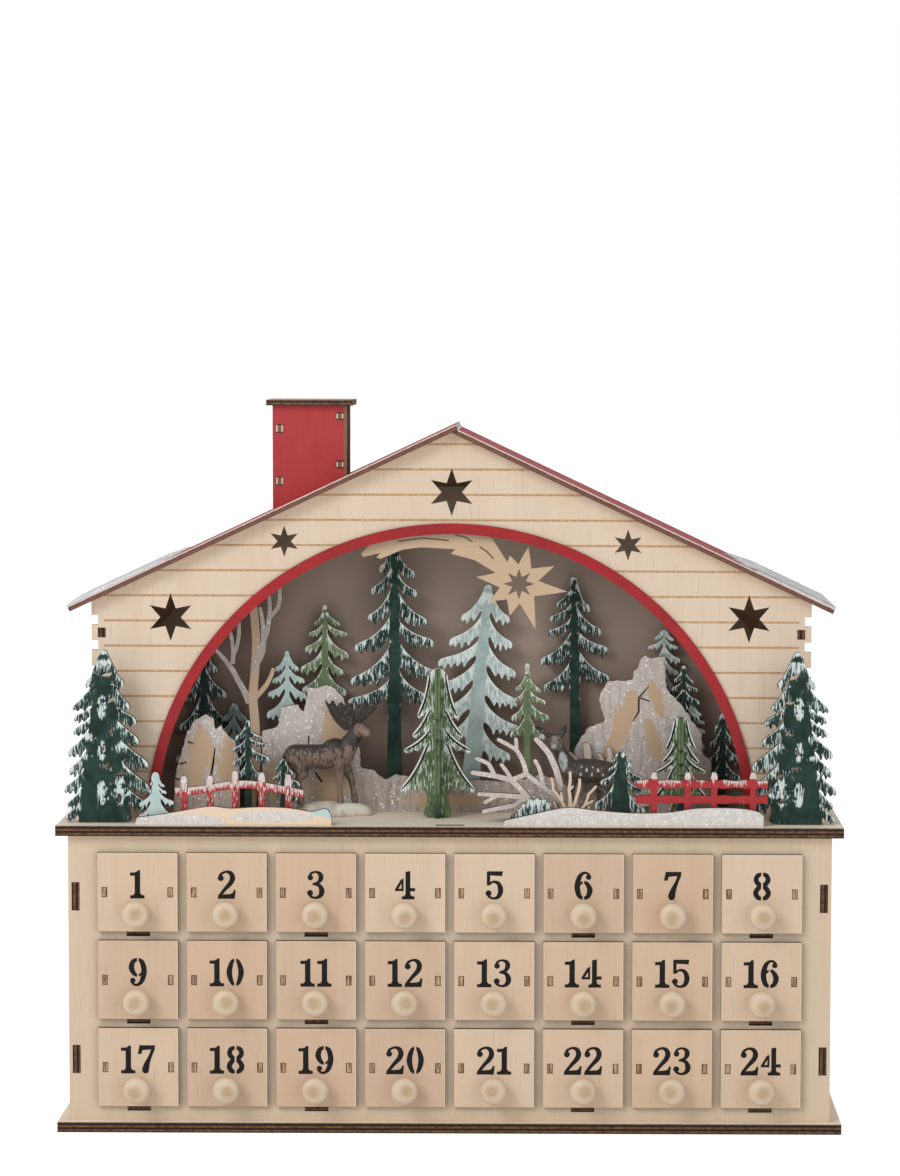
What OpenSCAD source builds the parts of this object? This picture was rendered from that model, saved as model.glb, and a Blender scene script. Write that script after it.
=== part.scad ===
// Wooden advent calendar: a chest of twenty-four small drawers that carries a log-cabin front with a
// winter forest behind its arch. Millimetres, +Z up, the fronts face -Y, and the origin is the centre
// of the base plate's underside.

/* [Drawers] */
// Number of drawer columns
columns = 8; // [8:1:8]
// Number of drawer rows
rows = 3; // [3:1:3]
// Width of a drawer front
front_w = 43; // [40:0.5:48]
// Height of a drawer front
front_h = 42.5; // [40:0.5:48]
// Thickness of a drawer front
front_t = 3; // [2:0.5:4]
// Gap between neighbouring fronts, side by side
front_gap_x = 4.6; // [3:0.1:7]
// Gap between one row of fronts and the next
front_gap_z = 4.8; // [4:0.1:7]
// Thickness of a drawer's sides, back and floor
tray_t = 2.7; // [2:0.1:3.5]
// How far a drawer's sides stand in from the ends of its front
tray_inset = 2.6; // [2:0.1:4]
// Height of a drawer's sides and back
tray_h = 34; // [20:0.5:36]
// Diameter of the turned knob
knob_d = 14.4; // [10:0.2:17]
// How far the knob stands out from the front
knob_l = 11; // [8:0.5:14]
// Diameter of the knob's dowel
knob_dowel_d = 4; // [3:0.1:5]
// How far the knob's centre lies below the middle of the front
knob_drop = 10.9; // [9:0.1:13]

/* [Chest] */
// Thickness of the base plate and the deck plate
plate_t = 5.5; // [4:0.5:8]
// Depth of the base plate and the deck plate, front to back
plate_d = 100; // [94:1:130]
// How far the plates run past the chest at each end
plate_end_lip = 6; // [3:0.5:10]
// How far the plates run past the chest at the front and the rear
plate_edge_lip = 5; // [3:0.5:8]
// Thickness of the face, the side panels and the rear panel
panel_t = 4; // [3:0.5:5]
// Face beside the outer drawer fronts
face_end_margin = 15.9; // [12:0.1:25]
// Face above the top row of fronts
face_top_margin = 9.1; // [7:0.1:14]
// Face below the bottom row of fronts
face_bottom_margin = 8.3; // [6:0.1:12]
// Thickness of the shelves
shelf_t = 3.4; // [2.6:0.1:3.6]
// Thickness of the upright dividers
divider_t = 3; // [2:0.5:4]

/* [House] */
// How far the house front stands in from the ends of the deck
house_end_setback = 16; // [12:0.5:24]
// How far the house front stands back from the deck's front edge
house_setback = 30; // [28:0.5:34]
// How far the rear wall stands in from the deck's rear edge
rear_setback = 8; // [5:0.5:12]
// Thickness of the house front and the rear wall
wall_t = 3; // [2.5:0.5:4]
// Thickness of the house's side walls
side_wall_t = 4; // [3:0.5:5]
// Height of the house front at the eaves
eave_h = 117.5; // [108:0.5:130]
// Slope of the roof in degrees
roof_slope = 25.25; // [23:0.25:30]
// Width of each leg of the house front beside the arch
leg_w = 34.8; // [30:0.1:40]
// How far the arch's centre lies below the deck's top
arch_drop = 4.7; // [3:0.1:12]
// Width of the red band round the arch
trim_w = 5.7; // [3:0.1:8]
// Thickness of the red band
trim_t = 1.5; // [1:0.1:3]
// Height of one log of the cabin front
log_h = 13.65; // [12:0.05:15]
// How far the log ends run past the notches between them
log_end = 3.6; // [2:0.1:4]
// Tip radius of the large star windows
star_r = 12.9; // [10:0.1:15]
// Tip radius of the small star windows
small_star_r = 8.4; // [6:0.1:10]

/* [Roof] */
// Thickness of a roof panel
roof_t = 3; // [2.5:0.5:4]
// How far the roof runs past the house front
roof_front_lip = 7; // [4:0.5:10]
// How far the roof runs past the rear wall
roof_rear_lip = 3; // [2:0.5:6]
// How far the roof runs past the house front's ends, along the slope
roof_eave_lip = 11.9; // [8:0.1:18]
// Thickness of the snow on the roof
snow_t = 2.2; // [1:0.1:3]
// Width of the snow up the slope from each eave
snow_w = 66; // [40:1:90]
// Width of the chimney
chimney_w = 40; // [34:0.5:44]
// Depth of the chimney, front to back
chimney_d = 34; // [26:0.5:40]
// Thickness of the chimney's walls
chimney_t = 3.7; // [2.5:0.1:4]
// Height of the chimney's cap above the deck
chimney_top_h = 226; // [215:0.5:240]
// Thickness of the chimney's cap
cap_t = 3; // [2:0.5:4]
// How far the cap runs past the chimney's walls
cap_lip = 3.2; // [2:0.1:6]

/* [Scenery] */
// Thickness of the cut-out scenery
scenery_t = 3; // [2:0.5:3.5]
// Gap between one row of scenery and the next
row_gap = 1; // [1:0.1:1.5]
// Height of the two firs at the ends of the deck
end_fir_h = 93; // [80:0.5:100]
// Longest bough of the two firs at the ends of the deck
end_fir_reach = 25; // [20:0.5:25]
// Height of the tall dark fir
tall_fir_h = 150; // [130:1:152]
// Height of the pale frosted fir
frost_fir_h = 125; // [110:1:130]
// Height of the fir with the long bare trunk
pole_fir_h = 129; // [115:1:132]
// Height of the interlocked fir in the middle
crossed_fir_h = 82; // [70:1:90]
// Height of the small interlocked fir
small_crossed_fir_h = 56; // [45:1:62]
// Height of the bare tree
bare_tree_h = 126; // [110:1:130]
// Height of the tallest rock
right_rock_h = 87; // [70:1:92]
// Height of the middle rocks
middle_rock_h = 70; // [60:1:74]
// Height of the left rock
left_rock_h = 56; // [45:1:64]
// Height of the snowbanks
bank_h = 10; // [7:0.5:13]
// Height of the fences above the deck
fence_h = 28.5; // [24:0.5:34]
// Height of the deer at its back
deer_back_h = 33; // [28:0.5:36]
// Height of the fawn at its back
fawn_back_h = 27; // [22:0.5:30]

/* [Hidden] */
// Facets of every round cut and turned piece
$fn = 72;
// One overrun serves every cut
over = 1;
// A right angle in degrees
square_turn = 90;
full_turn = 360;
birch = [0.84, 0.75, 0.63];
birch_dark = [0.72, 0.6, 0.46];
house_red = [0.7, 0.19, 0.2];
taupe = [0.45, 0.4, 0.37];
snow_white = [0.9, 0.9, 0.9];
dark_green = [0.14, 0.28, 0.24];
frost_green = [0.7, 0.8, 0.78];
leaf_green = [0.33, 0.47, 0.25];
rock_grey = [0.78, 0.74, 0.7];
deer_brown = [0.43, 0.33, 0.29];

// Fits: a tab in its slot, a board in its halving, a drawer in its bay
tab_fit = 0.15;
lap_fit = 0.15;
drawer_side_fit = 0.5;
drawer_floor_fit = 0.3;
drawer_face_fit = 0.3;
drawer_rear_fit = 6;
dowel_fit = 0.1;
glue_gap = 0.1;

// Places that the whole chest shares
pitch_x = front_w + front_gap_x;
pitch_z = front_h + front_gap_z;
face_w = columns * front_w + (columns - 1) * front_gap_x + 2 * face_end_margin;
face_h = face_bottom_margin + rows * front_h + (rows - 1) * front_gap_z + face_top_margin;
plate_w = face_w + 2 * plate_end_lip;
front_edge_y = -plate_d / 2;
rear_edge_y = plate_d / 2;
face_y = front_edge_y + plate_edge_lip;
bay_front_y = face_y + panel_t;
rear_panel_y = rear_edge_y - plate_edge_lip - panel_t;
face_z = plate_t;
deck_z = plate_t + face_h;
deck_top = deck_z + plate_t;
side_inset = 2;
bay_half_w = face_w / 2 - side_inset - panel_t;

// A front laps the sill of its window a little, and the shelf is flush with the sill
sill_lap = 0.5;
window_w = front_w - 2 * tray_inset + 2 * drawer_side_fit;
window_h = tray_h + drawer_floor_fit + 4 * drawer_side_fit;
function column_x(i) = (i - (columns - 1) / 2) * pitch_x;
function front_z(row) = face_z + face_bottom_margin + (rows - 1 - row) * pitch_z;
function shelf_top(row) = front_z(row) + sill_lap;

// Tabs: chest panels into the plates, shelves into the face, sides into the face
plate_tab_w = 15;
plate_tab_place_share = 0.38;
plate_tab_xs = [-plate_tab_place_share * face_w, 0, plate_tab_place_share * face_w];
shelf_tab_w = 12.3;
shelf_tab_columns = [0, 2, 5, 7];
side_tab_h = 15;
side_tab_place_shares = [0.215, 0.785];
side_tab_zs = [for (s = side_tab_place_shares) face_z + s * face_h];
tray_tab_h = 5.3;
wall_tab_w = 12;
wall_tab_h = 5;

// Places that the house shares
house_w = plate_w - 2 * house_end_setback;
facade_y = front_edge_y + house_setback;
facade_back_y = facade_y + wall_t;
rear_wall_y = rear_edge_y - rear_setback - wall_t;
rise = house_w / 2 * tan(roof_slope);
apex_h = eave_h + rise;
arch_r = house_w / 2 - leg_w;
wall_tab_drop = 16.8;
wall_tab_z = eave_h - wall_tab_drop;
side_wall_x = house_w / 2 - log_end - side_wall_t;
backdrop_gap = 9;
backdrop_clear = 5;
backdrop_y = rear_wall_y - backdrop_gap - scenery_t;
row_pitch = scenery_t + row_gap;
row_4_y = backdrop_y - backdrop_clear - scenery_t;
row_3_y = row_4_y - row_pitch;
row_2_y = row_3_y - row_pitch;
row_1_y = row_2_y - row_pitch;
bank_setback = 4;
bank_y = front_edge_y + bank_setback;
fence_y = bank_y + row_pitch;
end_fir_y = fence_y + row_pitch;
deadwood_y = end_fir_y + row_pitch;
stage_y = (facade_back_y + row_1_y) / 2;

// Shapes that several pieces share

// An upright board: the children are its front view, and it runs back from front_y
module upright(front_y, thick) {
    translate([0, front_y + thick, 0])
        rotate([square_turn, 0, 0])
            linear_extrude(thick) children();
}

// A board on edge, front to back: the children are its side view, and it runs right from left_x
module sideways(left_x, thick) {
    translate([left_x, 0, 0])
        rotate([square_turn, 0, square_turn])
            linear_extrude(thick) children();
}

// A lying board: the children are its plan
module lying(bottom_z, thick) {
    translate([0, 0, bottom_z])
        linear_extrude(thick) children();
}

// A rectangle by its lower left corner and its upper right corner
module field(x0, y0, x1, y1) {
    translate([x0, y0]) square([x1 - x0, y1 - y0]);
}

// A rectangle round a middle point, grown by a fit on each side
module middle_field(x, y, w, h, grow = 0) {
    translate([x, y]) square([w + 2 * grow, h + 2 * grow], center = true);
}

function between(a, b, share) = a + (b - a) * share;

function star_points(tips, outer, inner) = [
    for (i = [0 : 2 * tips - 1])
        let (r = i % 2 == 0 ? outer : inner, turn = square_turn + i * full_turn / (2 * tips))
            [r * cos(turn), r * sin(turn)]
];

function oval_points(half_w, half_d, count) = [
    for (i = [0 : count - 1])
        [half_w * cos(i * full_turn / count), half_d * sin(i * full_turn / count)]
];

// One bough: its upper edge sags to the tip, and ragged twigs hang under it back to the stem
bough_sag_share = 0.1;
bough_sag_place_share = 0.55;
twig_drop_shares = [0.42, 0.3, 0.24, 0.2];
twig_place_share = 0.45;
function bough(inner, tip, back, twigs, drop) = concat(
    [between(inner, tip, bough_sag_place_share) - [0, drop * bough_sag_share], tip],
    [for (k = [0 : twigs - 1]) each [
        between(tip, back, (k + twig_place_share) / twigs)
            - [0, drop * twig_drop_shares[k % len(twig_drop_shares)]],
        between(tip, back, (k + 1) / twigs)
    ]]
);

// One side of a fir, from its top down. tip_shares lists each bough's reach and height as shares.
// The stem is core wide on each side at the top and widens by core_growth down to the deck.
bough_rise_share = 0.2;
bough_start_share = 0.12;
function fir_side(h, reach, tip_shares, core, core_growth, twigs, side) = [
    for (i = [0 : len(tip_shares) - 1])
        let (
            above = i == 0 ? 1 : tip_shares[i - 1][1],
            here = tip_shares[i][1],
            gap = (above - here) * h,
            tip = [side * tip_shares[i][0] * reach, here * h],
            start_core = core * (1 + core_growth * (1 - above)),
            end_core = core * (1 + core_growth * (1 - here)),
            start = [side * start_core, above * h - gap * bough_start_share],
            back = [side * end_core, here * h + gap * bough_rise_share],
            below = i + 1 < len(tip_shares) ? (here - tip_shares[i + 1][1]) * h : gap,
            drop = min(gap, below, tip_shares[i][0] * reach - end_core)
        )
        each concat(i == 0 ? [] : [start], bough(start, tip, back, twigs, drop))
];

function reversed(list) = [for (i = [len(list) - 1 : -1 : 0]) list[i]];

// A whole fir outline. foot is the outline of the trunk's right half, from the last bough down.
function fir_points(h, reach, left_shares, right_shares, trunk_w, core, core_growth, twigs, top_w) =
    concat(
        [[top_w / 4, h], [top_w / 2, h - top_w / 2]],
        fir_side(h, reach, right_shares, core, core_growth, twigs, 1),
        [[trunk_w / 2, right_shares[len(right_shares) - 1][1] * h], [trunk_w / 2, 0]],
        [[-trunk_w / 2, 0], [-trunk_w / 2, left_shares[len(left_shares) - 1][1] * h]],
        reversed(fir_side(h, reach, left_shares, core, core_growth, twigs, -1)),
        [[-top_w / 2, h - top_w / 2], [-top_w / 4, h]]
    );

function leaning(points, h, lean) = [for (p = points) [p[0] + lean * p[1] / h, p[1]]];

// A limb of a bare tree: a tapered bar that ends in a knot a little wider than itself
knot_share = 1.08;
knot_facets = 10;
module limb(from, to, from_w, to_w) {
    run = to - from;
    side = [-run[1], run[0]] / norm(run);
    knot_r = to_w / 2 * knot_share;
    polygon([
        from + side * from_w / 2, from - side * from_w / 2,
        to - side * to_w / 2, to + side * to_w / 2
    ]);
    translate(to) polygon(oval_points(knot_r, knot_r, knot_facets));
}

// Plates

module plate_slots(grow) {
    for (x = plate_tab_xs) {
        middle_field(x, face_y + panel_t / 2, plate_tab_w, panel_t, grow);
        middle_field(x, rear_panel_y + panel_t / 2, plate_tab_w, panel_t, grow);
    }
}

module house_tab_fields(front_y, thick, grow) {
    for (side = [-1, 1])
        middle_field(side * (house_w / 2 - leg_w / 2), front_y + thick / 2, wall_tab_w, thick, grow);
}

module plate_plan() {
    square([plate_w, plate_d], center = true);
}

module base_plate() {
    color(birch)
        lying(0, plate_t)
            difference() {
                plate_plan();
                plate_slots(tab_fit);
            }
}

module deck_plate() {
    color(birch)
        lying(deck_z, plate_t)
            difference() {
                plate_plan();
                plate_slots(tab_fit);
                house_tab_fields(facade_y, wall_t, tab_fit);
                house_tab_fields(rear_wall_y, wall_t, tab_fit);
            }
}

// Chest

module chest_board_view() {
    field(-face_w / 2, face_z, face_w / 2, deck_z);
    for (x = plate_tab_xs)
        field(x - plate_tab_w / 2, 0, x + plate_tab_w / 2, deck_top);
}

module chest_tab_slots() {
    for (side = [-1, 1], z = side_tab_zs)
        middle_field(side * (bay_half_w + panel_t / 2), z, panel_t, side_tab_h, tab_fit);
    for (row = [0 : rows - 1], i = shelf_tab_columns)
        middle_field(column_x(i), shelf_top(row) - shelf_t / 2, shelf_tab_w, shelf_t, tab_fit);
}

module face_frame() {
    color(birch)
        upright(face_y, panel_t)
            difference() {
                chest_board_view();
                chest_tab_slots();
                for (row = [0 : rows - 1], i = [0 : columns - 1])
                    field(
                        column_x(i) - window_w / 2, shelf_top(row),
                        column_x(i) + window_w / 2, shelf_top(row) + window_h
                    );
            }
}

module rear_panel() {
    color(birch)
        upright(rear_panel_y, panel_t)
            difference() {
                chest_board_view();
                chest_tab_slots();
            }
}

module chest_side_view() {
    field(bay_front_y, face_z, rear_panel_y, deck_z);
    for (z = side_tab_zs)
        field(face_y, z - side_tab_h / 2, rear_panel_y + panel_t, z + side_tab_h / 2);
}

module chest_sides() {
    color(birch) {
        sideways(-bay_half_w - panel_t, panel_t) chest_side_view();
        sideways(bay_half_w, panel_t) chest_side_view();
    }
}

// Shelves and dividers halve into each other halfway back
lap_y = (bay_front_y + rear_panel_y) / 2;

module shelf_plan() {
    difference() {
        union() {
            field(-bay_half_w, bay_front_y, bay_half_w, rear_panel_y);
            for (i = shelf_tab_columns)
                field(
                    column_x(i) - shelf_tab_w / 2, face_y,
                    column_x(i) + shelf_tab_w / 2, rear_panel_y + panel_t
                );
        }
        for (i = [0 : columns - 2])
            field(
                column_x(i) + pitch_x / 2 - divider_t / 2 - lap_fit, lap_y,
                column_x(i) + pitch_x / 2 + divider_t / 2 + lap_fit, rear_panel_y + over
            );
    }
}

module shelves() {
    color(birch_dark)
        for (row = [0 : rows - 1])
            lying(shelf_top(row) - shelf_t, shelf_t) shelf_plan();
}

module divider_view() {
    difference() {
        field(bay_front_y, face_z, rear_panel_y, deck_z);
        for (row = [0 : rows - 1])
            field(
                bay_front_y - over, shelf_top(row) - shelf_t - lap_fit,
                lap_y + lap_fit, shelf_top(row) + lap_fit
            );
    }
}

module dividers() {
    color(birch_dark)
        for (i = [0 : columns - 2])
            sideways(column_x(i) + pitch_x / 2 - divider_t / 2, divider_t) divider_view();
}

// Drawers: a front with a turned knob, two sides that tenon into it, a back and a floor
front_y = face_y - drawer_face_fit - front_t;
tray_y = front_y + front_t;
tray_end_y = rear_panel_y - drawer_rear_fit;
tray_half_w = front_w / 2 - tray_inset;
tray_inner_half_w = tray_half_w - tray_t - glue_gap;
tray_z = sill_lap + drawer_floor_fit;

module drawer_front() {
    upright(front_y, front_t)
        difference() {
            field(-front_w / 2, 0, front_w / 2, front_h);
            for (side = [-1, 1])
                middle_field(side * (tray_half_w - tray_t / 2), front_h / 2, tray_t, tray_tab_h, tab_fit);
            translate([0, front_h / 2 - knob_drop]) circle(d = knob_dowel_d + 2 * dowel_fit);
        }
}

module tray_side_view() {
    field(tray_y + glue_gap, tray_z, tray_end_y, tray_z + tray_h);
    field(front_y, (front_h - tray_tab_h) / 2, tray_y + over, (front_h + tray_tab_h) / 2);
}

// Half section of the knob: a waisted neck under a domed cap, and the dowel behind
knob_neck_share = 0.3;
knob_foot_share = 0.36;
knob_rim_share = 0.62;
knob_waist_place_share = 0.3;
knob_rim_place_share = 0.52;
knob_crown_share = 0.28;
function knob_arc(steps) = [
    for (k = [0 : steps])
        let (turn = k * square_turn / steps)
            [knob_d / 2 * cos(turn), knob_l * (knob_rim_share + (1 - knob_rim_share) * sin(turn))]
];

module knob_section() {
    polygon(concat(
        [[0, -front_t], [knob_dowel_d / 2, -front_t], [knob_dowel_d / 2, glue_gap]],
        [[knob_d * knob_foot_share, glue_gap]],
        [[knob_d * knob_neck_share, knob_l * knob_waist_place_share]],
        [[knob_d / 2, knob_l * knob_rim_place_share]],
        knob_arc(6)
    ));
}

module knob() {
    translate([0, front_y, front_h / 2 - knob_drop])
        rotate([square_turn, 0, 0])
            rotate_extrude() knob_section();
}

module drawer(column, row) {
    translate([column_x(column), 0, front_z(row)]) {
        color(birch) {
            drawer_front();
            sideways(-tray_half_w, tray_t) tray_side_view();
            sideways(tray_half_w - tray_t, tray_t) tray_side_view();
        }
        color(birch_dark) {
            upright(tray_end_y - tray_t, tray_t)
                field(-tray_inner_half_w, tray_z, tray_inner_half_w, tray_z + tray_h);
            lying(tray_z, tray_t)
                field(
                    -tray_inner_half_w, tray_y + glue_gap,
                    tray_inner_half_w, tray_end_y - tray_t - glue_gap
                );
        }
        color(birch) knob();
    }
}

// House

function gable_points(half_w, low) = [
    [-half_w, low], [half_w, low], [half_w, deck_top + eave_h],
    [0, deck_top + eave_h + half_w * tan(roof_slope)], [-half_w, deck_top + eave_h]
];

// The notches between the log ends, counted down from the one above the side wall's tab
notch_h = 5;
notch_top = deck_top + wall_tab_z + log_h / 2;
notch_count = floor((wall_tab_z + log_h / 2) / log_h);

module log_notches() {
    for (side = [-1, 1], k = [0 : notch_count])
        middle_field(side * (house_w / 2), notch_top - k * log_h, 2 * log_end, notch_h);
}

module side_wall_slots() {
    for (side = [-1, 1])
        middle_field(side * (side_wall_x + side_wall_t / 2), deck_top + wall_tab_z,
            side_wall_t, wall_tab_h, tab_fit);
}

module house_board_view() {
    difference() {
        union() {
            polygon(gable_points(house_w / 2, deck_top));
            for (side = [-1, 1])
                middle_field(side * (house_w / 2 - leg_w / 2), deck_top, wall_tab_w, 2 * plate_t);
        }
        log_notches();
        side_wall_slots();
    }
}

// Windows: a large star under the ridge and over each leg, and a small star in each haunch
star_inner_share = 0.43;
top_star_place_shares = [0, 0.847];
leg_star_place_shares = [[-0.78, 0.522], [0.826, 0.522]];
haunch_star_place_shares = [[-0.464, 0.719], [0.489, 0.712]];

module star_at(place_shares, r) {
    translate([place_shares[0] * house_w / 2, deck_top + place_shares[1] * apex_h])
        polygon(star_points(6, r, r * star_inner_share));
}

module facade() {
    color(birch)
        upright(facade_y, wall_t)
            difference() {
                house_board_view();
                translate([0, deck_top - arch_drop]) circle(r = arch_r);
                star_at(top_star_place_shares, star_r);
                for (place = leg_star_place_shares) star_at(place, star_r);
                for (place = haunch_star_place_shares) star_at(place, small_star_r);
            }
}

module arch_trim() {
    color(house_red)
        upright(facade_y - trim_t, trim_t)
            difference() {
                translate([0, deck_top - arch_drop]) circle(r = arch_r + trim_w);
                translate([0, deck_top - arch_drop]) circle(r = arch_r);
                field(-house_w, deck_top - 2 * arch_r, house_w, deck_top);
            }
}

module house_side_view() {
    field(facade_back_y, deck_top, rear_wall_y, deck_top + eave_h);
    field(
        facade_y, deck_top + wall_tab_z - wall_tab_h / 2,
        rear_wall_y + wall_t, deck_top + wall_tab_z + wall_tab_h / 2
    );
}

module house_sides() {
    color(birch)
        for (x = [-side_wall_x - side_wall_t, side_wall_x])
            sideways(x, side_wall_t) house_side_view();
}

module house_rear_wall() {
    color(birch)
        upright(rear_wall_y, wall_t) house_board_view();
}

// The backdrop is a board with an arched top that fills the house behind the forest
backdrop_ridge_gap = 31;
backdrop_top_h = apex_h - backdrop_ridge_gap;
backdrop_r = 209;

module backdrop() {
    color(taupe)
        upright(backdrop_y, scenery_t)
            intersection() {
                field(-side_wall_x, deck_top, side_wall_x, deck_top + backdrop_top_h);
                translate([0, deck_top + backdrop_top_h - backdrop_r]) circle(r = backdrop_r);
            }
}

// Roof: both panels are cut square, and the left one runs over the top end of the right one
roof_run = (house_w / 2) / cos(roof_slope) + roof_eave_lip;
roof_y = facade_y - roof_front_lip;
roof_d = rear_wall_y + wall_t + roof_rear_lip - roof_y;
ridge_z = deck_top + apex_h;
roof_fit = 0.2;

// Slides along one slope: the children are a section, x down the slope from the ridge, y off the slope
module on_slope(side) {
    translate([0, roof_y + roof_d, ridge_z])
        rotate([square_turn, 0, 0])
            linear_extrude(roof_d)
                mirror([side > 0 ? 0 : 1, 0])
                    rotate(-roof_slope) children();
}

module roof_left() {
    color(house_red)
        on_slope(-1) field(-roof_t / sin(2 * roof_slope), 0, roof_run, roof_t);
}

module roof_right() {
    color(house_red)
        on_slope(1) field(roof_t / tan(2 * roof_slope) + roof_fit, 0, roof_run, roof_t);
}

module snow_section() {
    polygon([
        [roof_run - snow_w, roof_t], [roof_run, roof_t],
        [roof_run, roof_t + snow_t], [roof_run - snow_w + snow_t, roof_t + snow_t]
    ]);
}

module roof_snow() {
    color(snow_white)
        for (side = [-1, 1]) on_slope(side) snow_section();
}

// Chimney: four tabbed walls cut to the slope, under a flat cap
chimney_place_share = 0.3974;
chimney_x = -chimney_place_share * house_w / 2 - chimney_w / 2;
chimney_y = roof_y + (roof_d - chimney_d) / 2;
chimney_tab_h = 4.1;
chimney_cap_z = deck_top + chimney_top_h - cap_t;
function roof_top_z(x) = ridge_z - abs(x) * tan(roof_slope) + roof_t / cos(roof_slope);

// The left wall's tabs and the right wall's, as shares of the way up from the wall's foot
chimney_tab_shares = [[0.254, 0.771], [0.193, 0.855]];
chimney_wall_xs = [chimney_x + chimney_t, chimney_x + chimney_w - chimney_t];
function chimney_tab_zs(i) = [
    for (share = chimney_tab_shares[i])
        between(roof_top_z(chimney_wall_xs[i]), chimney_cap_z, share)
];

module chimney_front_view() {
    difference() {
        polygon([
            [chimney_x, roof_top_z(chimney_x)],
            [chimney_x + chimney_w, roof_top_z(chimney_x + chimney_w)],
            [chimney_x + chimney_w, chimney_cap_z], [chimney_x, chimney_cap_z]
        ]);
        for (i = [0, 1], z = chimney_tab_zs(i))
            middle_field(chimney_wall_xs[i], z, chimney_t, chimney_tab_h, tab_fit);
    }
}

// The side walls are cut square and stand on the higher edge of their foot
module chimney_side_view(i) {
    field(
        chimney_y + chimney_t + glue_gap, roof_top_z(chimney_wall_xs[i] + chimney_t / 2),
        chimney_y + chimney_d - chimney_t - glue_gap, chimney_cap_z
    );
    for (z = chimney_tab_zs(i))
        field(chimney_y, z - chimney_tab_h / 2, chimney_y + chimney_d, z + chimney_tab_h / 2);
}

module chimney_walls() {
    color(house_red) {
        upright(chimney_y, chimney_t) chimney_front_view();
        upright(chimney_y + chimney_d - chimney_t, chimney_t) chimney_front_view();
        for (i = [0, 1])
            sideways(chimney_wall_xs[i] - chimney_t / 2, chimney_t) chimney_side_view(i);
    }
}

module chimney_cap() {
    color(birch_dark)
        lying(chimney_cap_z, cap_t)
            field(
                chimney_x - cap_lip, chimney_y - cap_lip,
                chimney_x + chimney_w + cap_lip, chimney_y + chimney_d + cap_lip
            );
}

// Comet: an eight-rayed star with a star window and a slit tail, glued behind the house front
comet_place_shares = [0.187, 0.61];
comet_r = 26.5;
comet_ray_shares = [
    [171, 0.88], [108, 0.61], [76, 0.8], [27, 0.81], [-9, 1], [-70, 0.99], [-106, 0.68], [-149, 0.7]
];
comet_valley_share = 0.4;
comet_window_share = 0.315;
comet_window_inner_share = 0.15;
comet_tail_shares = [
    [-0.3, 0.1], [-0.46, 0.21], [-0.9, 0.48], [-1.39, 0.61], [-1.3, 0.7], [-1.98, 0.74],
    [-2.37, 0.69], [-2.82, 0.5], [-2.9, 0.53], [-2.82, 0.62], [-3.16, 0.54], [-3.22, 0.6],
    [-3.05, 0.78], [-2.6, 1.05], [-2.1, 1.25], [-1.6, 1.3], [-1.05, 1.17], [-0.55, 0.93], [-0.2, 0.38]
];
comet_slit_shares = [
    [[-2.46, 0.86], [-1.95, 0.93], [-1.44, 0.88]],
    [[-1.3, 1], [-1.1, 0.95], [-0.96, 0.86]],
    [[-0.8, 0.75], [-0.66, 0.66], [-0.53, 0.52]]
];
slit_w = 0.8;

function ray_points(shares, r, valley) = [
    for (i = [0 : len(shares) - 1])
        let (
            a = shares[i][0],
            b = shares[(i + 1) % len(shares)][0],
            gap = (a - b + full_turn) % full_turn,
            mid = a - gap / 2
        )
        each [
            [shares[i][1] * r * cos(a), shares[i][1] * r * sin(a)],
            [valley * r * cos(mid), valley * r * sin(mid)]
        ]
];

module comet_slit(points) {
    for (i = [0 : len(points) - 2])
        limb(points[i] * comet_r, points[i + 1] * comet_r, slit_w, slit_w);
}

module comet_star() {
    color(birch)
        upright(facade_back_y, scenery_t)
            translate([comet_place_shares[0] * house_w / 2, deck_top + comet_place_shares[1] * apex_h])
                difference() {
                    union() {
                        polygon(ray_points(comet_ray_shares, comet_r, comet_valley_share));
                        polygon(comet_tail_shares * comet_r);
                    }
                    polygon(star_points(
                        len(comet_ray_shares), comet_r * comet_window_share, comet_r * comet_window_inner_share
                    ));
                    for (slit = comet_slit_shares) comet_slit(slit);
                }
}

// Firs

// A cut-out fir that stands on the deck, x as a share of half the house's width
fir_top_least_w = 2;
fir_top_most_w = 4.5;
function fir_top_w(trunk_w) = min(fir_top_least_w + trunk_w / 3, fir_top_most_w);
module fir(x_share, y, h, reach, left_shares, right_shares, trunk_w, core, growth, twigs, lean = 0) {
    upright(y, scenery_t)
        translate([x_share * house_w / 2, deck_top])
            polygon(leaning(
                fir_points(h, reach, left_shares, right_shares, trunk_w, core, growth, twigs,
                    fir_top_w(trunk_w)),
                h, lean
            ));
}

end_fir_left_shares = [
    [0.4, 0.8], [0.68, 0.67], [0.64, 0.6], [0.66, 0.53], [0.78, 0.41], [0.76, 0.3], [0.86, 0.19],
    [0.8, 0.11], [0.83, 0.03]
];
end_fir_right_shares = [
    [0.44, 0.81], [0.56, 0.68], [0.7, 0.59], [0.75, 0.48], [0.97, 0.34], [1, 0.2], [0.97, 0.11]
];
end_fir_core_share = 0.15;
end_fir_growth = 3.4;
end_fir_trunk_share = 1.2;
end_fir_place = 24.7;
end_fir_cut_shares = [
    [0.06, 0.853], [0.144, 0.704], [0.144, 0.523], [-0.04, 0.418], [0.02, 0.325], [0.348, 0.281],
    [0.308, 0.138]
];
end_fir_cut_w = 3.2;
end_fir_cut_h = 1.2;

module end_fir_view() {
    difference() {
        polygon(fir_points(
            end_fir_h, end_fir_reach, end_fir_left_shares, end_fir_right_shares,
            end_fir_trunk_share * end_fir_reach, end_fir_core_share * end_fir_reach, end_fir_growth, 2,
            end_fir_reach / 5
        ));
        for (share = end_fir_cut_shares)
            translate([share[0] * end_fir_reach, share[1] * end_fir_h])
                polygon(oval_points(end_fir_cut_w / 2, end_fir_cut_h / 2, 8));
    }
}

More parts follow.
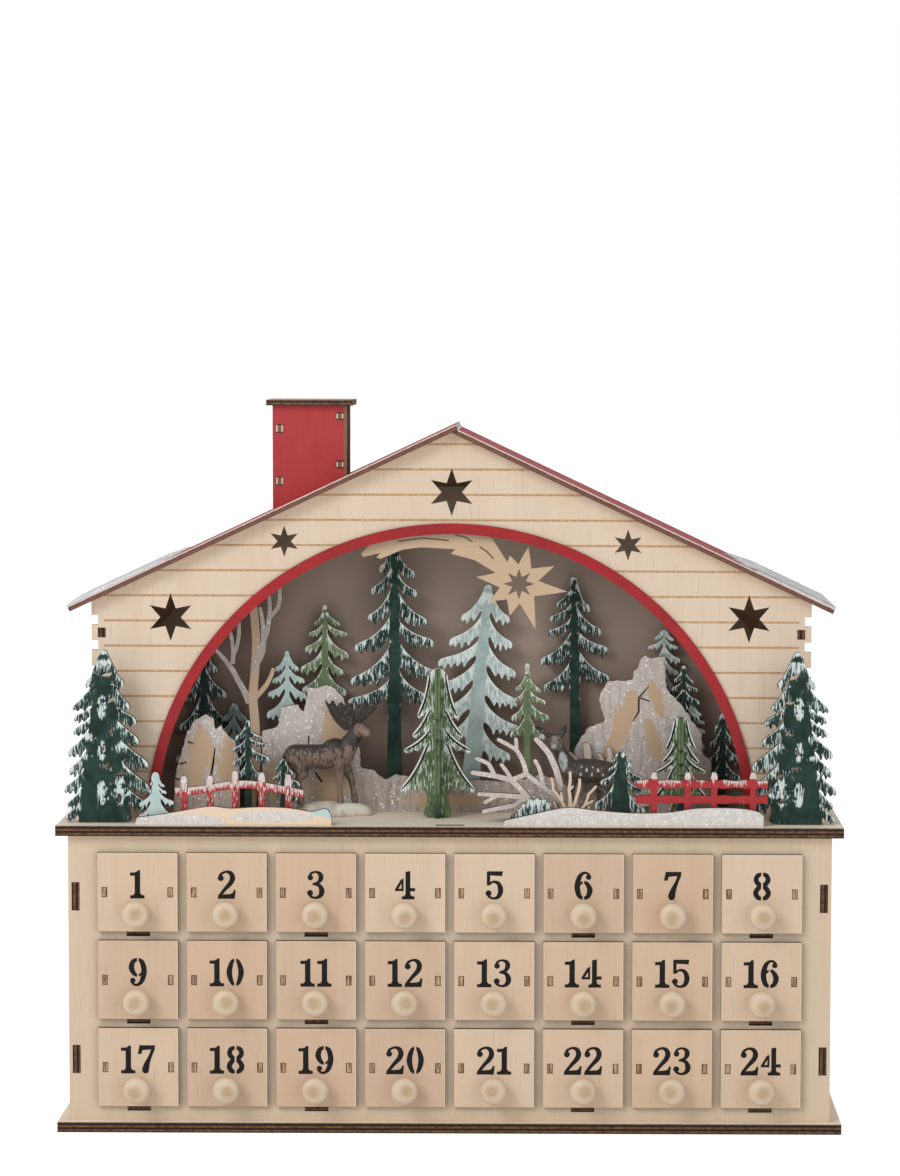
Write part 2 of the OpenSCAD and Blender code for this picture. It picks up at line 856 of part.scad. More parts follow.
module end_fir(side) {
    color(dark_green)
        upright(end_fir_y, scenery_t)
            translate([side * (plate_w / 2 - end_fir_place), deck_top])
                mirror([side > 0 ? 1 : 0, 0]) end_fir_view();
}

module end_fir_left() {
    end_fir(-1);
}

module end_fir_right() {
    end_fir(1);
}

tall_fir_reach = 24.6;
tall_fir_trunk = 7.6;
tall_fir_left_shares = [[0.35, 0.89], [0.54, 0.81], [0.61, 0.71], [0.91, 0.6], [1, 0.47], [0.92, 0.38]];
tall_fir_right_shares = [[0.48, 0.87], [0.52, 0.8], [0.74, 0.7], [0.89, 0.62], [0.95, 0.5], [0.9, 0.4]];

module tall_fir() {
    color(dark_green)
        fir(-0.166, row_2_y, tall_fir_h, tall_fir_reach, tall_fir_left_shares, tall_fir_right_shares,
            tall_fir_trunk, tall_fir_trunk / 2, 0.1, 3);
}

frost_fir_reach = 25;
frost_fir_trunk = 6.6;
frost_fir_lean = 11;
frost_fir_left_shares = [[0.54, 0.86], [0.75, 0.75], [0.95, 0.66], [0.93, 0.54], [1, 0.42], [0.9, 0.3]];
frost_fir_right_shares = [[0.55, 0.85], [0.65, 0.74], [0.78, 0.61], [0.9, 0.48], [1, 0.36], [0.85, 0.24]];

module frost_fir() {
    color(frost_green)
        fir(0.042, row_3_y, frost_fir_h, frost_fir_reach, frost_fir_left_shares, frost_fir_right_shares,
            frost_fir_trunk, frost_fir_trunk * 0.7, 0.8, 3, frost_fir_lean);
}

pole_fir_reach = 19.8;
pole_fir_trunk = 6.8;
pole_fir_lean = -2;
pole_fir_left_shares = [[0.5, 0.88], [0.68, 0.82], [0.75, 0.76], [0.96, 0.64], [0.9, 0.52]];
pole_fir_right_shares = [[0.46, 0.87], [0.76, 0.77], [0.96, 0.69], [0.99, 0.57]];

module pole_fir() {
    color(dark_green)
        fir(0.35, row_4_y, pole_fir_h, pole_fir_reach, pole_fir_left_shares, pole_fir_right_shares,
            pole_fir_trunk, pole_fir_trunk / 2, 0.1, 3, pole_fir_lean);
}

// Two firs of halved boards: one board faces the front and the other stands square to it
crossed_fir_shares = [[0.53, 0.69], [0.65, 0.56], [0.865, 0.46], [0.96, 0.2]];
crossed_fir_reach_share = 0.25;
crossed_fir_depth_share = 0.9;
crossed_fir_core_share = 0.24;
crossed_fir_foot_share = 0.42;
crossed_fir_foot_h_share = 0.17;
crossed_fir_waist_share = 0.28;
crossed_fir_top_shares = [[-1, -1], [-0.7, -0.3], [0, 0], [0.7, -0.3], [1, -1]];

function crossed_half(h, reach, side) = concat(
    fir_side(h, reach, crossed_fir_shares, reach * crossed_fir_core_share, 0.6, 2, side),
    [
        [side * reach * crossed_fir_waist_share, h * crossed_fir_foot_h_share],
        [side * reach * crossed_fir_foot_share, 0]
    ]
);

module crossed_board_view(h, reach, slot_low, slot_high) {
    core = reach * crossed_fir_core_share;
    difference() {
        polygon(concat(
            [for (share = crossed_fir_top_shares) share * core + [0, h]],
            crossed_half(h, reach, 1), reversed(crossed_half(h, reach, -1))
        ));
        field(-scenery_t / 2 - lap_fit, slot_low, scenery_t / 2 + lap_fit, slot_high);
    }
}

module crossed_fir(x, y, h) {
    reach = h * crossed_fir_reach_share;
    translate([x, y, deck_top]) {
        upright(-scenery_t / 2, scenery_t) crossed_board_view(h, reach, -over, h / 2);
        sideways(-scenery_t / 2, scenery_t)
            crossed_board_view(h, reach * crossed_fir_depth_share, h / 2 - lap_fit, h + over);
    }
}

crossed_fir_x_share = -0.036;
crossed_fir_set = 3;
small_crossed_fir_x_share = 0.64;
small_crossed_fir_set = 7;

module crossed_firs() {
    color(leaf_green) {
        crossed_fir(crossed_fir_x_share * house_w / 2, facade_back_y + crossed_fir_set, crossed_fir_h);
        crossed_fir(small_crossed_fir_x_share * house_w / 2, facade_back_y + small_crossed_fir_set,
            small_crossed_fir_h);
    }
}

// Small firs: height, reach and trunk in millimetres, with one outline for them all
small_fir_left_shares = [[0.5, 0.86], [0.72, 0.74], [0.9, 0.62], [1, 0.5]];
small_fir_right_shares = [[0.56, 0.87], [0.8, 0.76], [0.96, 0.64], [0.88, 0.51]];
small_fir_core_share = 0.26;
small_fir_growth = 0.8;

module small_fir(x_share, y, h, reach, trunk_w) {
    fir(x_share, y, h, reach, small_fir_left_shares, small_fir_right_shares, trunk_w,
        reach * small_fir_core_share, small_fir_growth, 2);
}

// Low firs are boughs almost down to the deck
low_fir_left_shares = [[0.45, 0.78], [0.68, 0.58], [0.8, 0.38], [1, 0.16]];
low_fir_right_shares = [[0.5, 0.8], [0.64, 0.6], [0.84, 0.4], [1, 0.16]];

module low_fir(x_share, y, h, reach, trunk_w) {
    fir(x_share, y, h, reach, low_fir_left_shares, low_fir_right_shares, trunk_w,
        reach * small_fir_core_share, small_fir_growth, 2);
}

edge_fir_h = 91;
edge_fir_reach = 16;
green_fir_h = 113;
green_fir_reach = 14.3;
pale_fir_h = 88;
pale_fir_reach = 11.5;
grey_fir_h = 59;
grey_fir_reach = 9;
leaf_fir_h = 82;
leaf_fir_reach = 14;
rock_fir_h = 100;
rock_fir_reach = 9.4;
rock_fir_low_h = 81;
rock_fir_low_reach = 8;
glitter_fir_h = 60;
glitter_fir_reach = 6.5;
far_fir_h = 54;
far_fir_reach = 11;
thin_trunk = 4;

module background_firs() {
    color(dark_green) {
        small_fir(-0.71, row_4_y, edge_fir_h, edge_fir_reach, thin_trunk);
        low_fir(0.765, row_4_y, far_fir_h, far_fir_reach, thin_trunk);
        small_fir(0.652, row_2_y, rock_fir_low_h, rock_fir_low_reach, thin_trunk);
    }
    color(leaf_green) {
        small_fir(-0.365, row_4_y, green_fir_h, green_fir_reach, thin_trunk);
        small_fir(0.21, row_2_y, leaf_fir_h, leaf_fir_reach, thin_trunk);
        small_fir(0.598, row_4_y, rock_fir_h, rock_fir_reach, thin_trunk);
    }
    color(frost_green) {
        small_fir(-0.471, row_3_y, pale_fir_h, pale_fir_reach, thin_trunk);
        low_fir(-0.622, row_3_y, grey_fir_h, grey_fir_reach, thin_trunk);
        small_fir(0.678, row_3_y, glitter_fir_h, glitter_fir_reach, thin_trunk);
    }
}

twin_fir_y = facade_back_y + row_gap / 2;
twin_fir_h = 53;
twin_fir_reach = 9.3;
twin_fir_low_h = 32;
twin_fir_low_reach = 7.5;
front_fir_h = 40;
front_fir_reach = 13.2;
bank_fir_h = 28;
bank_fir_reach = 8.8;
bush_w = 23;
bush_h = 15;
bush_x_share = 0.225;
bush_spike_shares = [
    [-0.5, 0], [-0.5, 0.3], [-0.43, 0.42], [-0.4, 0.36], [-0.34, 0.72], [-0.28, 0.6], [-0.2, 0.92],
    [-0.13, 0.8], [-0.06, 1], [0.03, 0.82], [0.12, 0.98], [0.2, 0.78], [0.3, 0.95], [0.36, 0.7],
    [0.46, 0.78], [0.44, 0.45], [0.5, 0.4], [0.5, 0]
];

module foreground_firs() {
    color(dark_green) {
        low_fir(-0.568, twin_fir_y, twin_fir_h, twin_fir_reach, thin_trunk);
        low_fir(-0.47, twin_fir_y, twin_fir_low_h, twin_fir_low_reach, thin_trunk);
        low_fir(0.47, end_fir_y, front_fir_h, front_fir_reach, front_fir_reach);
        upright(fence_y, scenery_t)
            translate([bush_x_share * house_w / 2, deck_top])
                polygon([for (s = bush_spike_shares) [s[0] * bush_w, s[1] * bush_h]]);
    }
    color(frost_green)
        low_fir(-0.811, fence_y, bank_fir_h, bank_fir_reach, bank_fir_reach);
}

// Bare wood: limbs listed as from, to and the two widths, all as shares
module limbs(shares, size) {
    for (s = shares) limb(s[0] * size, s[1] * size, s[2] * size, s[3] * size);
}

module limb_board(x_share, y, size, shares) {
    upright(y, scenery_t)
        translate([x_share * house_w / 2, deck_top])
            difference() {
                limbs(shares, size);
                field(-size, -size, size, 0);
            }
}

bare_tree_x_share = -0.5655;
bare_tree_limb_shares = [
    [[0, 0], [0.01, 0.5], 0.044, 0.04], [[0.01, 0.5], [0.005, 0.97], 0.04, 0.036],
    [[-0.005, 0.47], [-0.056, 0.575], 0.03, 0.026], [[-0.056, 0.575], [-0.089, 0.633], 0.026, 0.024],
    [[-0.089, 0.633], [-0.156, 0.709], 0.022, 0.018], [[-0.077, 0.642], [-0.077, 0.726], 0.022, 0.018],
    [[-0.077, 0.726], [-0.089, 0.784], 0.018, 0.018], [[-0.077, 0.675], [-0.056, 0.725], 0.02, 0.018],
    [[-0.056, 0.725], [-0.048, 0.817], 0.018, 0.018], [[0.01, 0.62], [0.053, 0.692], 0.03, 0.026],
    [[0.053, 0.692], [0.057, 0.759], 0.026, 0.022], [[0.057, 0.759], [0.044, 0.884], 0.022, 0.018],
    [[0.056, 0.733], [0.083, 0.843], 0.024, 0.022], [[0.083, 0.843], [0.124, 0.893], 0.02, 0.02],
    [[0.124, 0.893], [0.129, 0.968], 0.02, 0.018], [[0.083, 0.843], [0.083, 0.935], 0.02, 0.018],
    [[0.015, 0.49], [0.07, 0.55], 0.026, 0.022], [[0.07, 0.55], [0.099, 0.617], 0.022, 0.018]
];

module bare_tree() {
    color(birch) limb_board(bare_tree_x_share, row_2_y, bare_tree_h, bare_tree_limb_shares);
}

deadwood_w = 48;
deadwood_x_share = 0.18;
deadwood_limb_shares = [
    [[0.25, 0], [0.127, 0.29], 0.09, 0.075], [[0.127, 0.29], [-0.044, 0.483], 0.075, 0.065],
    [[-0.044, 0.483], [-0.238, 0.529], 0.065, 0.06], [[-0.238, 0.529], [-0.477, 0.565], 0.06, 0.055],
    [[-0.238, 0.529], [-0.306, 0.667], 0.055, 0.05], [[-0.306, 0.667], [-0.433, 0.723], 0.05, 0.045],
    [[-0.044, 0.483], [-0.158, 0.654], 0.05, 0.045], [[-0.044, 0.483], [0.117, 0.552], 0.06, 0.06],
    [[0.117, 0.552], [0.07, 0.713], 0.06, 0.055], [[0.07, 0.713], [0.002, 0.827], 0.055, 0.05],
    [[0.002, 0.827], [0.002, 0.94], 0.05, 0.045], [[0.002, 0.827], [-0.19, 0.935], 0.05, 0.045],
    [[0.117, 0.552], [0.3, 0.415], 0.06, 0.06], [[0.3, 0.415], [0.458, 0.302], 0.06, 0.065],
    [[0.3, 0.415], [0.275, 0.575], 0.055, 0.05], [[0.275, 0.575], [0.219, 0.7], 0.05, 0.045],
    [[0.42, 0], [0.458, 0.302], 0.09, 0.08], [[0.458, 0.302], [0.494, 0.438], 0.08, 0.075],
    [[0.494, 0.438], [0.379, 0.769], 0.075, 0.07], [[0.379, 0.769], [0.23, 0.94], 0.07, 0.06],
    [[0.127, 0.29], [-0.19, 0.313], 0.06, 0.055], [[-0.19, 0.313], [-0.408, 0.323], 0.055, 0.045],
    [[-0.19, 0.313], [-0.34, 0.233], 0.05, 0.045], [[0.127, 0.29], [-0.02, 0.198], 0.06, 0.055],
    [[-0.02, 0.198], [-0.352, 0.129], 0.055, 0.05]
];

// A root that stands behind the fawn
rear_root_w = 42;
rear_root_x_share = 0.392;
rear_root_y = row_1_y - row_pitch;
rear_root_limb_shares = [
    [[0, 0], [-0.012, 0.29], 0.15, 0.14], [[-0.012, 0.29], [-0.05, 0.72], 0.11, 0.1],
    [[-0.05, 0.72], [-0.07, 0.885], 0.1, 0.095], [[-0.03, 0.43], [-0.195, 0.69], 0.07, 0.06],
    [[-0.195, 0.69], [-0.285, 0.785], 0.06, 0.055], [[-0.02, 0.38], [0.24, 0.72], 0.08, 0.07],
    [[0.24, 0.72], [0.225, 0.84], 0.07, 0.065], [[0.17, 0.628], [0.1, 0.775], 0.05, 0.04],
    [[-0.02, 0.3], [0.09, 0.355], 0.06, 0.055], [[0.09, 0.355], [0.18, 0.29], 0.055, 0.045],
    [[0, 0.14], [0.2, 0.165], 0.06, 0.04], [[0, 0.05], [0.64, 0.05], 0.075, 0.06],
    [[0.64, 0.05], [0.665, 0.115], 0.06, 0.05], [[0.665, 0.115], [0.59, 0.15], 0.05, 0.045],
    [[0.59, 0.15], [0.55, 0.215], 0.045, 0.04], [[0.665, 0.115], [0.745, 0.125], 0.045, 0.04]
];

module deadwood() {
    color(snow_white) {
        limb_board(deadwood_x_share, deadwood_y, deadwood_w, deadwood_limb_shares);
        limb_board(rear_root_x_share, rear_root_y, rear_root_w, rear_root_limb_shares);
    }
}

shrub_h = 30;
shrub_x_share = 0.327;
shrub_limb_shares = [
    [[0.02, 0], [0.02, 0.3], 0.13, 0.1], [[0.02, 0.3], [0, 0.62], 0.075, 0.06],
    [[0, 0.62], [0.02, 0.93], 0.06, 0.055], [[0, 0.6], [0.07, 0.68], 0.045, 0.04],
    [[0.04, 0.24], [0.14, 0.5], 0.07, 0.06], [[0.14, 0.5], [0.19, 0.72], 0.06, 0.06],
    [[0.19, 0.72], [0.19, 0.8], 0.06, 0.055], [[0.1, 0.14], [0.28, 0.34], 0.07, 0.055],
    [[0.28, 0.34], [0.35, 0.54], 0.055, 0.05], [[0.35, 0.54], [0.48, 0.68], 0.05, 0.045],
    [[0.28, 0.34], [0.42, 0.42], 0.05, 0.045], [[0.05, 0.05], [0.33, 0.22], 0.06, 0.045],
    [[0.33, 0.22], [0.36, 0.32], 0.045, 0.04], [[-0.02, 0.16], [-0.12, 0.4], 0.08, 0.06],
    [[-0.12, 0.4], [-0.28, 0.62], 0.06, 0.055], [[-0.28, 0.62], [-0.31, 0.82], 0.055, 0.05],
    [[-0.12, 0.4], [-0.14, 0.56], 0.05, 0.045], [[-0.04, 0.1], [-0.22, 0.24], 0.06, 0.05],
    [[-0.22, 0.24], [-0.26, 0.4], 0.045, 0.04]
];

module shrub() {
    color(birch) limb_board(shrub_x_share, end_fir_y, shrub_h, shrub_limb_shares);
}

// Rocks

left_rock_w = 36;
left_rock_x_share = -0.688;
left_rock_shares = [
    [-0.5, 0], [-0.48, 0.34], [-0.453, 0.47], [-0.38, 0.618], [-0.294, 0.823], [-0.178, 0.934],
    [0, 0.991], [0.11, 0.954], [0.14, 0.84], [0.228, 0.888], [0.344, 0.768], [0.444, 0.73],
    [0.5, 0.5], [0.5, 0]
];
middle_rock_w = 62;
middle_rock_x_share = -0.376;
middle_rock_shares = [
    [-0.51, 0], [-0.51, 0.636], [-0.38, 0.667], [-0.337, 0.83], [-0.19, 0.846], [-0.14, 0.787],
    [-0.106, 0.98], [0.005, 0.984], [0.06, 1], [0.139, 0.97], [0.215, 0.896], [0.26, 0.77],
    [0.36, 0.474], [0.368, 0.347], [0.484, 0.331], [0.573, 0.257], [0.68, 0.3], [0.86, 0.27],
    [1.1, 0.25], [1.4, 0.26], [1.7, 0.24], [1.96, 0.3], [2.1, 0.27], [2.2, 0.2], [2.2, 0]
];
right_rock_w = 72;
right_rock_x_share = 0.536;
right_rock_shares = [
    [-0.52, 0], [-0.52, 0.4], [-0.468, 0.483], [-0.41, 0.544], [-0.285, 0.585], [-0.322, 0.664],
    [-0.336, 0.711], [-0.315, 0.772], [-0.264, 0.839], [-0.082, 0.843], [-0.074, 0.899],
    [-0.038, 0.917], [-0.022, 0.972], [0.014, 1], [0.072, 0.98], [0.13, 0.99], [0.168, 0.99],
    [0.18, 0.79], [0.306, 0.676], [0.453, 0.5], [0.458, 0.386], [0.525, 0.325], [0.525, 0]
];

module rock(x_share, y, w, h, shares) {
    color(rock_grey)
        upright(y, scenery_t)
            translate([x_share * house_w / 2, deck_top])
                polygon([for (s = shares) [s[0] * w, s[1] * h]]);
}

module left_rock() {
    rock(left_rock_x_share, facade_back_y + 2 * row_pitch, left_rock_w, left_rock_h, left_rock_shares);
}

module middle_rocks() {
    rock(middle_rock_x_share, row_1_y, middle_rock_w, middle_rock_h, middle_rock_shares);
}

module right_rock() {
    rock(right_rock_x_share, row_1_y, right_rock_w, right_rock_h, right_rock_shares);
}

// Fences and snowbanks

post_w = 3.5;
rail_h = 4.2;
left_post_shares = [[-0.733, 0.9], [-0.661, 0.91], [-0.592, 1], [-0.519, 0.97], [-0.446, 0.93]];
left_rail_shares = [[-0.758, 0.61], [-0.7, 0.63], [-0.595, 0.74], [-0.52, 0.72], [-0.404, 0.57]];
right_post_shares = [0.561, 0.654, 0.727, 0.834];
right_rail_x_shares = [0.512, 0.875];
right_rail_z_shares = [0.49, 0.78];

function rail_points(shares, half_h) = concat(
    [for (s = shares) [s[0] * house_w / 2, s[1] * fence_h - half_h]],
    reversed([for (s = shares) [s[0] * house_w / 2, s[1] * fence_h + half_h]])
);

module left_fence_view() {
    for (s = left_post_shares)
        field(s[0] * house_w / 2 - post_w / 2, 0, s[0] * house_w / 2 + post_w / 2, s[1] * fence_h);
    polygon(rail_points(left_rail_shares, rail_h / 2));
}

module right_fence_view() {
    for (s = right_post_shares)
        field(s * house_w / 2 - post_w / 2, 0, s * house_w / 2 + post_w / 2, fence_h);
    for (s = right_rail_z_shares)
        field(
            right_rail_x_shares[0] * house_w / 2, s * fence_h - rail_h / 2,
            right_rail_x_shares[1] * house_w / 2, s * fence_h + rail_h / 2
        );
}

module fences() {
    color(house_red)
        upright(fence_y, scenery_t)
            translate([0, deck_top]) {
                left_fence_view();
                right_fence_view();
            }
}

left_bank_shares = [
    [-0.867, 0], [-0.86, 0.4], [-0.8, 0.55], [-0.74, 0.75], [-0.66, 1], [-0.6, 0.9], [-0.52, 0.98],
    [-0.44, 0.92], [-0.38, 0.75], [-0.34, 0.9], [-0.325, 0.45], [-0.325, 0]
];
right_bank_shares = [
    [0.145, 0], [0.15, 0.3], [0.22, 0.6], [0.32, 1], [0.4, 0.86], [0.5, 0.72], [0.6, 0.76],
    [0.68, 0.98], [0.78, 1], [0.84, 0.85], [0.863, 0.6], [0.863, 0]
];

module snowbanks() {
    color(snow_white)
        upright(bank_y, scenery_t)
            translate([0, deck_top]) {
                polygon([for (s = left_bank_shares) [s[0] * house_w / 2, s[1] * bank_h]]);
                polygon([for (s = right_bank_shares) [s[0] * house_w / 2, s[1] * bank_h]]);
            }
}

// Animals: chains of balls, each ball placed and sized as shares of the height at the back.
// Chains that come in pairs lie on the side where their second number is negative, and again mirrored.
animal_fn = 14;
deer_chain_shares = [
    [
        [[-0.63, 0, 0.8], 0.18], [[-0.4, 0, 0.77], 0.21], [[-0.1, 0, 0.76], 0.215],
        [[0.03, 0, 0.85], 0.24], [[0.13, 0, 0.78], 0.21]
    ],
    [[[0.21, 0, 0.86], 0.2], [[0.37, 0, 1.15], 0.12], [[0.38, 0, 1.27], 0.105]],
    [
        [[0.38, 0, 1.27], 0.105], [[0.46, -0.06, 1.24], 0.09], [[0.56, -0.12, 1.18], 0.065],
        [[0.6, -0.15, 1.165], 0.06]
    ],
    [[[-0.7, 0, 0.86], 0.06], [[-0.8, 0, 0.72], 0.045]],
    [[[0.1, -0.1, 0.7], 0.12], [[0.12, -0.1, 0.38], 0.068], [[0.13, -0.1, 0.02], 0.072]],
    [[[0.16, 0.09, 0.68], 0.12], [[0.3, 0.09, 0.36], 0.064], [[0.36, 0.09, 0.03], 0.068]]
];
deer_pair_shares = [
    [
        [[-0.6, -0.08, 0.7], 0.16], [[-0.5, -0.08, 0.5], 0.1], [[-0.58, -0.08, 0.36], 0.065],
        [[-0.53, -0.08, 0.03], 0.07]
    ],
    [[[0.34, -0.08, 1.32], 0.035], [[0.26, -0.17, 1.4], 0.028]]
];
fawn_chain_shares = [
    [
        [[-0.3, 0, 0.8], 0.22], [[-0.1, 0, 0.79], 0.26], [[0.15, 0, 0.8], 0.26],
        [[0.36, 0, 0.78], 0.22]
    ],
    [[[0.44, 0, 0.9], 0.2], [[0.56, 0, 1.12], 0.13], [[0.66, 0, 1.32], 0.11]],
    [[[0.69, 0, 1.415], 0.135], [[0.73, -0.2, 1.32], 0.07]],
    [[[-0.46, 0, 0.84], 0.05], [[-0.52, 0, 0.7], 0.045]],
    [[[0.76, 0, 1.48], 0.05], [[1.1, -0.02, 1.7], 0.035]],
    [[[0.62, 0, 1.48], 0.05], [[0.49, -0.02, 1.715], 0.04]]
];
fawn_pair_shares = [
    [[[0.34, -0.09, 0.7], 0.1], [[0.36, -0.09, 0.36], 0.055], [[0.37, -0.09, 0.02], 0.055]],
    [[[-0.28, -0.08, 0.72], 0.14], [[-0.4, -0.08, 0.38], 0.06], [[-0.36, -0.08, 0.02], 0.055]]
];

// Antlers: flat palms in front view, turned about their root. Points as shares of the deer's back.
antler_t = 1.6;
antler_turn = 25;
left_antler_root = 0.36;
left_antler_shares = [
    [0.36, 1.3], [0.242, 1.18], [0.121, 1.242], [-0.03, 1.409], [-0.164, 1.709], [-0.06, 1.6],
    [-0.015, 1.712], [0.06, 1.57], [0.121, 1.68], [0.18, 1.52], [0.25, 1.56], [0.36, 1.38]
];
right_antler_root = 0.42;
right_antler_shares = [
    [0.42, 1.3], [0.576, 1.439], [0.697, 1.545], [0.839, 1.767], [0.727, 1.66], [0.667, 1.742],
    [0.606, 1.6], [0.53, 1.697], [0.485, 1.52], [0.42, 1.4]
];

module chain(shares, size, side = 1) {
    for (i = [0 : len(shares) - 2])
        hull() for (j = [i, i + 1])
            translate([shares[j][0][0], side * shares[j][0][1], shares[j][0][2]] * size)
                sphere(r = shares[j][1] * size, $fn = animal_fn);
}

module animal(size, chain_shares, pair_shares) {
    for (shares = chain_shares) chain(shares, size);
    for (shares = pair_shares, side = [-1, 1]) chain(shares, size, side);
}

module antler(shares, root, turn) {
    translate([root * deer_back_h, 0, 0])
        rotate([0, 0, turn])
            upright(-antler_t / 2, antler_t)
                polygon([for (p = shares) [(p[0] - root) / cos(turn), p[1]] * deer_back_h]);
}

deer_x_share = -0.335;
deer_base_w = 46;
deer_base_d = 19;
deer_base_h = 6.5;
fawn_x_share = 0.387;

module deer() {
    color(deer_brown)
        translate([deer_x_share * house_w / 2, stage_y, deck_top]) {
            linear_extrude(deer_base_h) polygon(oval_points(deer_base_w / 2, deer_base_d / 2, 36));
            translate([0, 0, deer_base_h]) {
                animal(deer_back_h, deer_chain_shares, deer_pair_shares);
                antler(left_antler_shares, left_antler_root, -antler_turn);
                antler(right_antler_shares, right_antler_root, -antler_turn);
            }
        }
}

fawn_base_w = 30;
fawn_base_d = 12;
fawn_base_h = 3;

module fawn() {
    color(deer_brown)
        translate([fawn_x_share * house_w / 2, stage_y, deck_top]) {
            linear_extrude(fawn_base_h) polygon(oval_points(fawn_base_w / 2, fawn_base_d / 2, 36));
            translate([0, 0, fawn_base_h])
                mirror([1, 0, 0]) animal(fawn_back_h, fawn_chain_shares, fawn_pair_shares);
        }
}

base_plate();
deck_plate();
face_frame();
chest_sides();
rear_panel();
shelves();
dividers();
drawer(0, 0);  // drawer_01
drawer(1, 0);  // drawer_02
drawer(2, 0);  // drawer_03
drawer(3, 0);  // drawer_04
drawer(4, 0);  // drawer_05
drawer(5, 0);  // drawer_06
drawer(6, 0);  // drawer_07
drawer(7, 0);  // drawer_08
drawer(0, 1);  // drawer_09
drawer(1, 1);  // drawer_10
drawer(2, 1);  // drawer_11
drawer(3, 1);  // drawer_12
drawer(4, 1);  // drawer_13
drawer(5, 1);  // drawer_14
drawer(6, 1);  // drawer_15
drawer(7, 1);  // drawer_16
drawer(0, 2);  // drawer_17
drawer(1, 2);  // drawer_18
drawer(2, 2);  // drawer_19
drawer(3, 2);  // drawer_20
drawer(4, 2);  // drawer_21
drawer(5, 2);  // drawer_22
drawer(6, 2);  // drawer_23
drawer(7, 2);  // drawer_24
facade();
arch_trim();
house_sides();
house_rear_wall();
backdrop();
roof_left();
roof_right();
roof_snow();
chimney_walls();
chimney_cap();
comet_star();
end_fir_left();
end_fir_right();
tall_fir();
frost_fir();
pole_fir();
crossed_firs();
background_firs();
foreground_firs();
bare_tree();
left_rock();
middle_rocks();
right_rock();
fences();
snowbanks();
deer();
fawn();
deadwood();
shrub();
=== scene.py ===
import math
import random
import bpy
from mathutils import Matrix, Vector
from mathutils.geometry import delaunay_2d_cdt


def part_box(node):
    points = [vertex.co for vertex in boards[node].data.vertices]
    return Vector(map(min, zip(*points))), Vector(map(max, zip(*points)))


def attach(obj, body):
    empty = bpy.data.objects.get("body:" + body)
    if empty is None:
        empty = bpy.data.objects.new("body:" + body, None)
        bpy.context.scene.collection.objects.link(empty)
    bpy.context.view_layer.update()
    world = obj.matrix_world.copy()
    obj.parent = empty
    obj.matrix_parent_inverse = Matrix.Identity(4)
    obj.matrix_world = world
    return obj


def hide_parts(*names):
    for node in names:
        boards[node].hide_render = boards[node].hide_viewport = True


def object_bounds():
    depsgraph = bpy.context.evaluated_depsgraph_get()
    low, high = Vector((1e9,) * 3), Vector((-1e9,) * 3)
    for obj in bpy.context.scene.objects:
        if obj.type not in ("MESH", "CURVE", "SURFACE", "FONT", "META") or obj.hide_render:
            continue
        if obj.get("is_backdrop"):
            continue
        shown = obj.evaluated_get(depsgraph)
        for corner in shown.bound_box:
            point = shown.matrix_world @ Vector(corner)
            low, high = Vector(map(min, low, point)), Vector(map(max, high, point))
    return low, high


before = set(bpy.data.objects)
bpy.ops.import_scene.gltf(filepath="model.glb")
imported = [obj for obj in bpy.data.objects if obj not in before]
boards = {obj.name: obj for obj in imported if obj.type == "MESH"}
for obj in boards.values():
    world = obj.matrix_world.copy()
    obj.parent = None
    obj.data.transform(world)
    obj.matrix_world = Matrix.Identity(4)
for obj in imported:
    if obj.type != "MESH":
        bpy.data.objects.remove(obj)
cad_low, cad_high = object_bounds()
scene = bpy.context.scene


# Camera: a long lens a little right of the middle and above the ridge, looking slightly down. The
# picture is framed to the left of the lens's axis, which the shift gives.
PHOTO_SIZE = (900, 1176)
FOCAL_PIXELS = 3380
AXIS_PIXEL_X = 551
CAMERA_PLACE = (0.0535, -1.8341, 0.4259)
CAMERA_DOWN = math.radians(4.252)
CAMERA_ROLL = math.radians(0.195)
camera_data = bpy.data.cameras.new("camera")
camera = bpy.data.objects.new("camera", camera_data)
scene.collection.objects.link(camera)
scene.camera = camera
camera_data.sensor_width = 36
camera_data.lens = FOCAL_PIXELS / max(PHOTO_SIZE) * camera_data.sensor_width
camera_data.shift_x = (PHOTO_SIZE[0] / 2 - AXIS_PIXEL_X) / max(PHOTO_SIZE)
camera_data.clip_start = 0.05
camera_data.clip_end = 50
camera.matrix_world = Matrix.Translation(CAMERA_PLACE) @ Matrix.Rotation(math.pi / 2 - CAMERA_DOWN, 4,
    "X") @ Matrix.Rotation(CAMERA_ROLL, 4, "Z")


# Base plate and deck plate: two lengths of five-ply birch, laser-cut, so their faces are bare wood and
# their edges are charred, with the pale plies still showing. The chest's boards tenon into them.
MM = 0.001
BIRCH_LIGHT = (0.8, 0.655, 0.49)
BIRCH_DARK = (0.66, 0.49, 0.33)
CHAR_DARK = (0.022, 0.011, 0.006)
CHAR_PLY = (0.2, 0.1, 0.05)
PLATE_THICKNESS = 5.5 * MM
PLATE_PLIES = 5
GRAIN_UPRIGHT = (1100, 1100, 34)
GRAIN_ALONG = (34, 1100, 1100)
tree = material = None


class Shade:
    """A value or a vector within a material, which sums can be taken of."""

    def __init__(self, socket):
        self.socket = socket

    def __add__(self, other):
        return calc("ADD", self, other)

    def __sub__(self, other):
        return calc("SUBTRACT", self, other)

    def __rsub__(self, other):
        return calc("SUBTRACT", other, self)

    def __mul__(self, other):
        return calc("MULTIPLY", self, other)

    def __truediv__(self, other):
        return calc("DIVIDE", self, other)

    def __abs__(self):
        return calc("ABSOLUTE", self)


def feed(socket, value):
    """Link a shade or set a value on an input."""
    if isinstance(value, Shade):
        tree.links.new(value.socket, socket)
    else:
        socket.default_value = (*value, 1) if socket.type == "RGBA" and len(value) == 3 else value


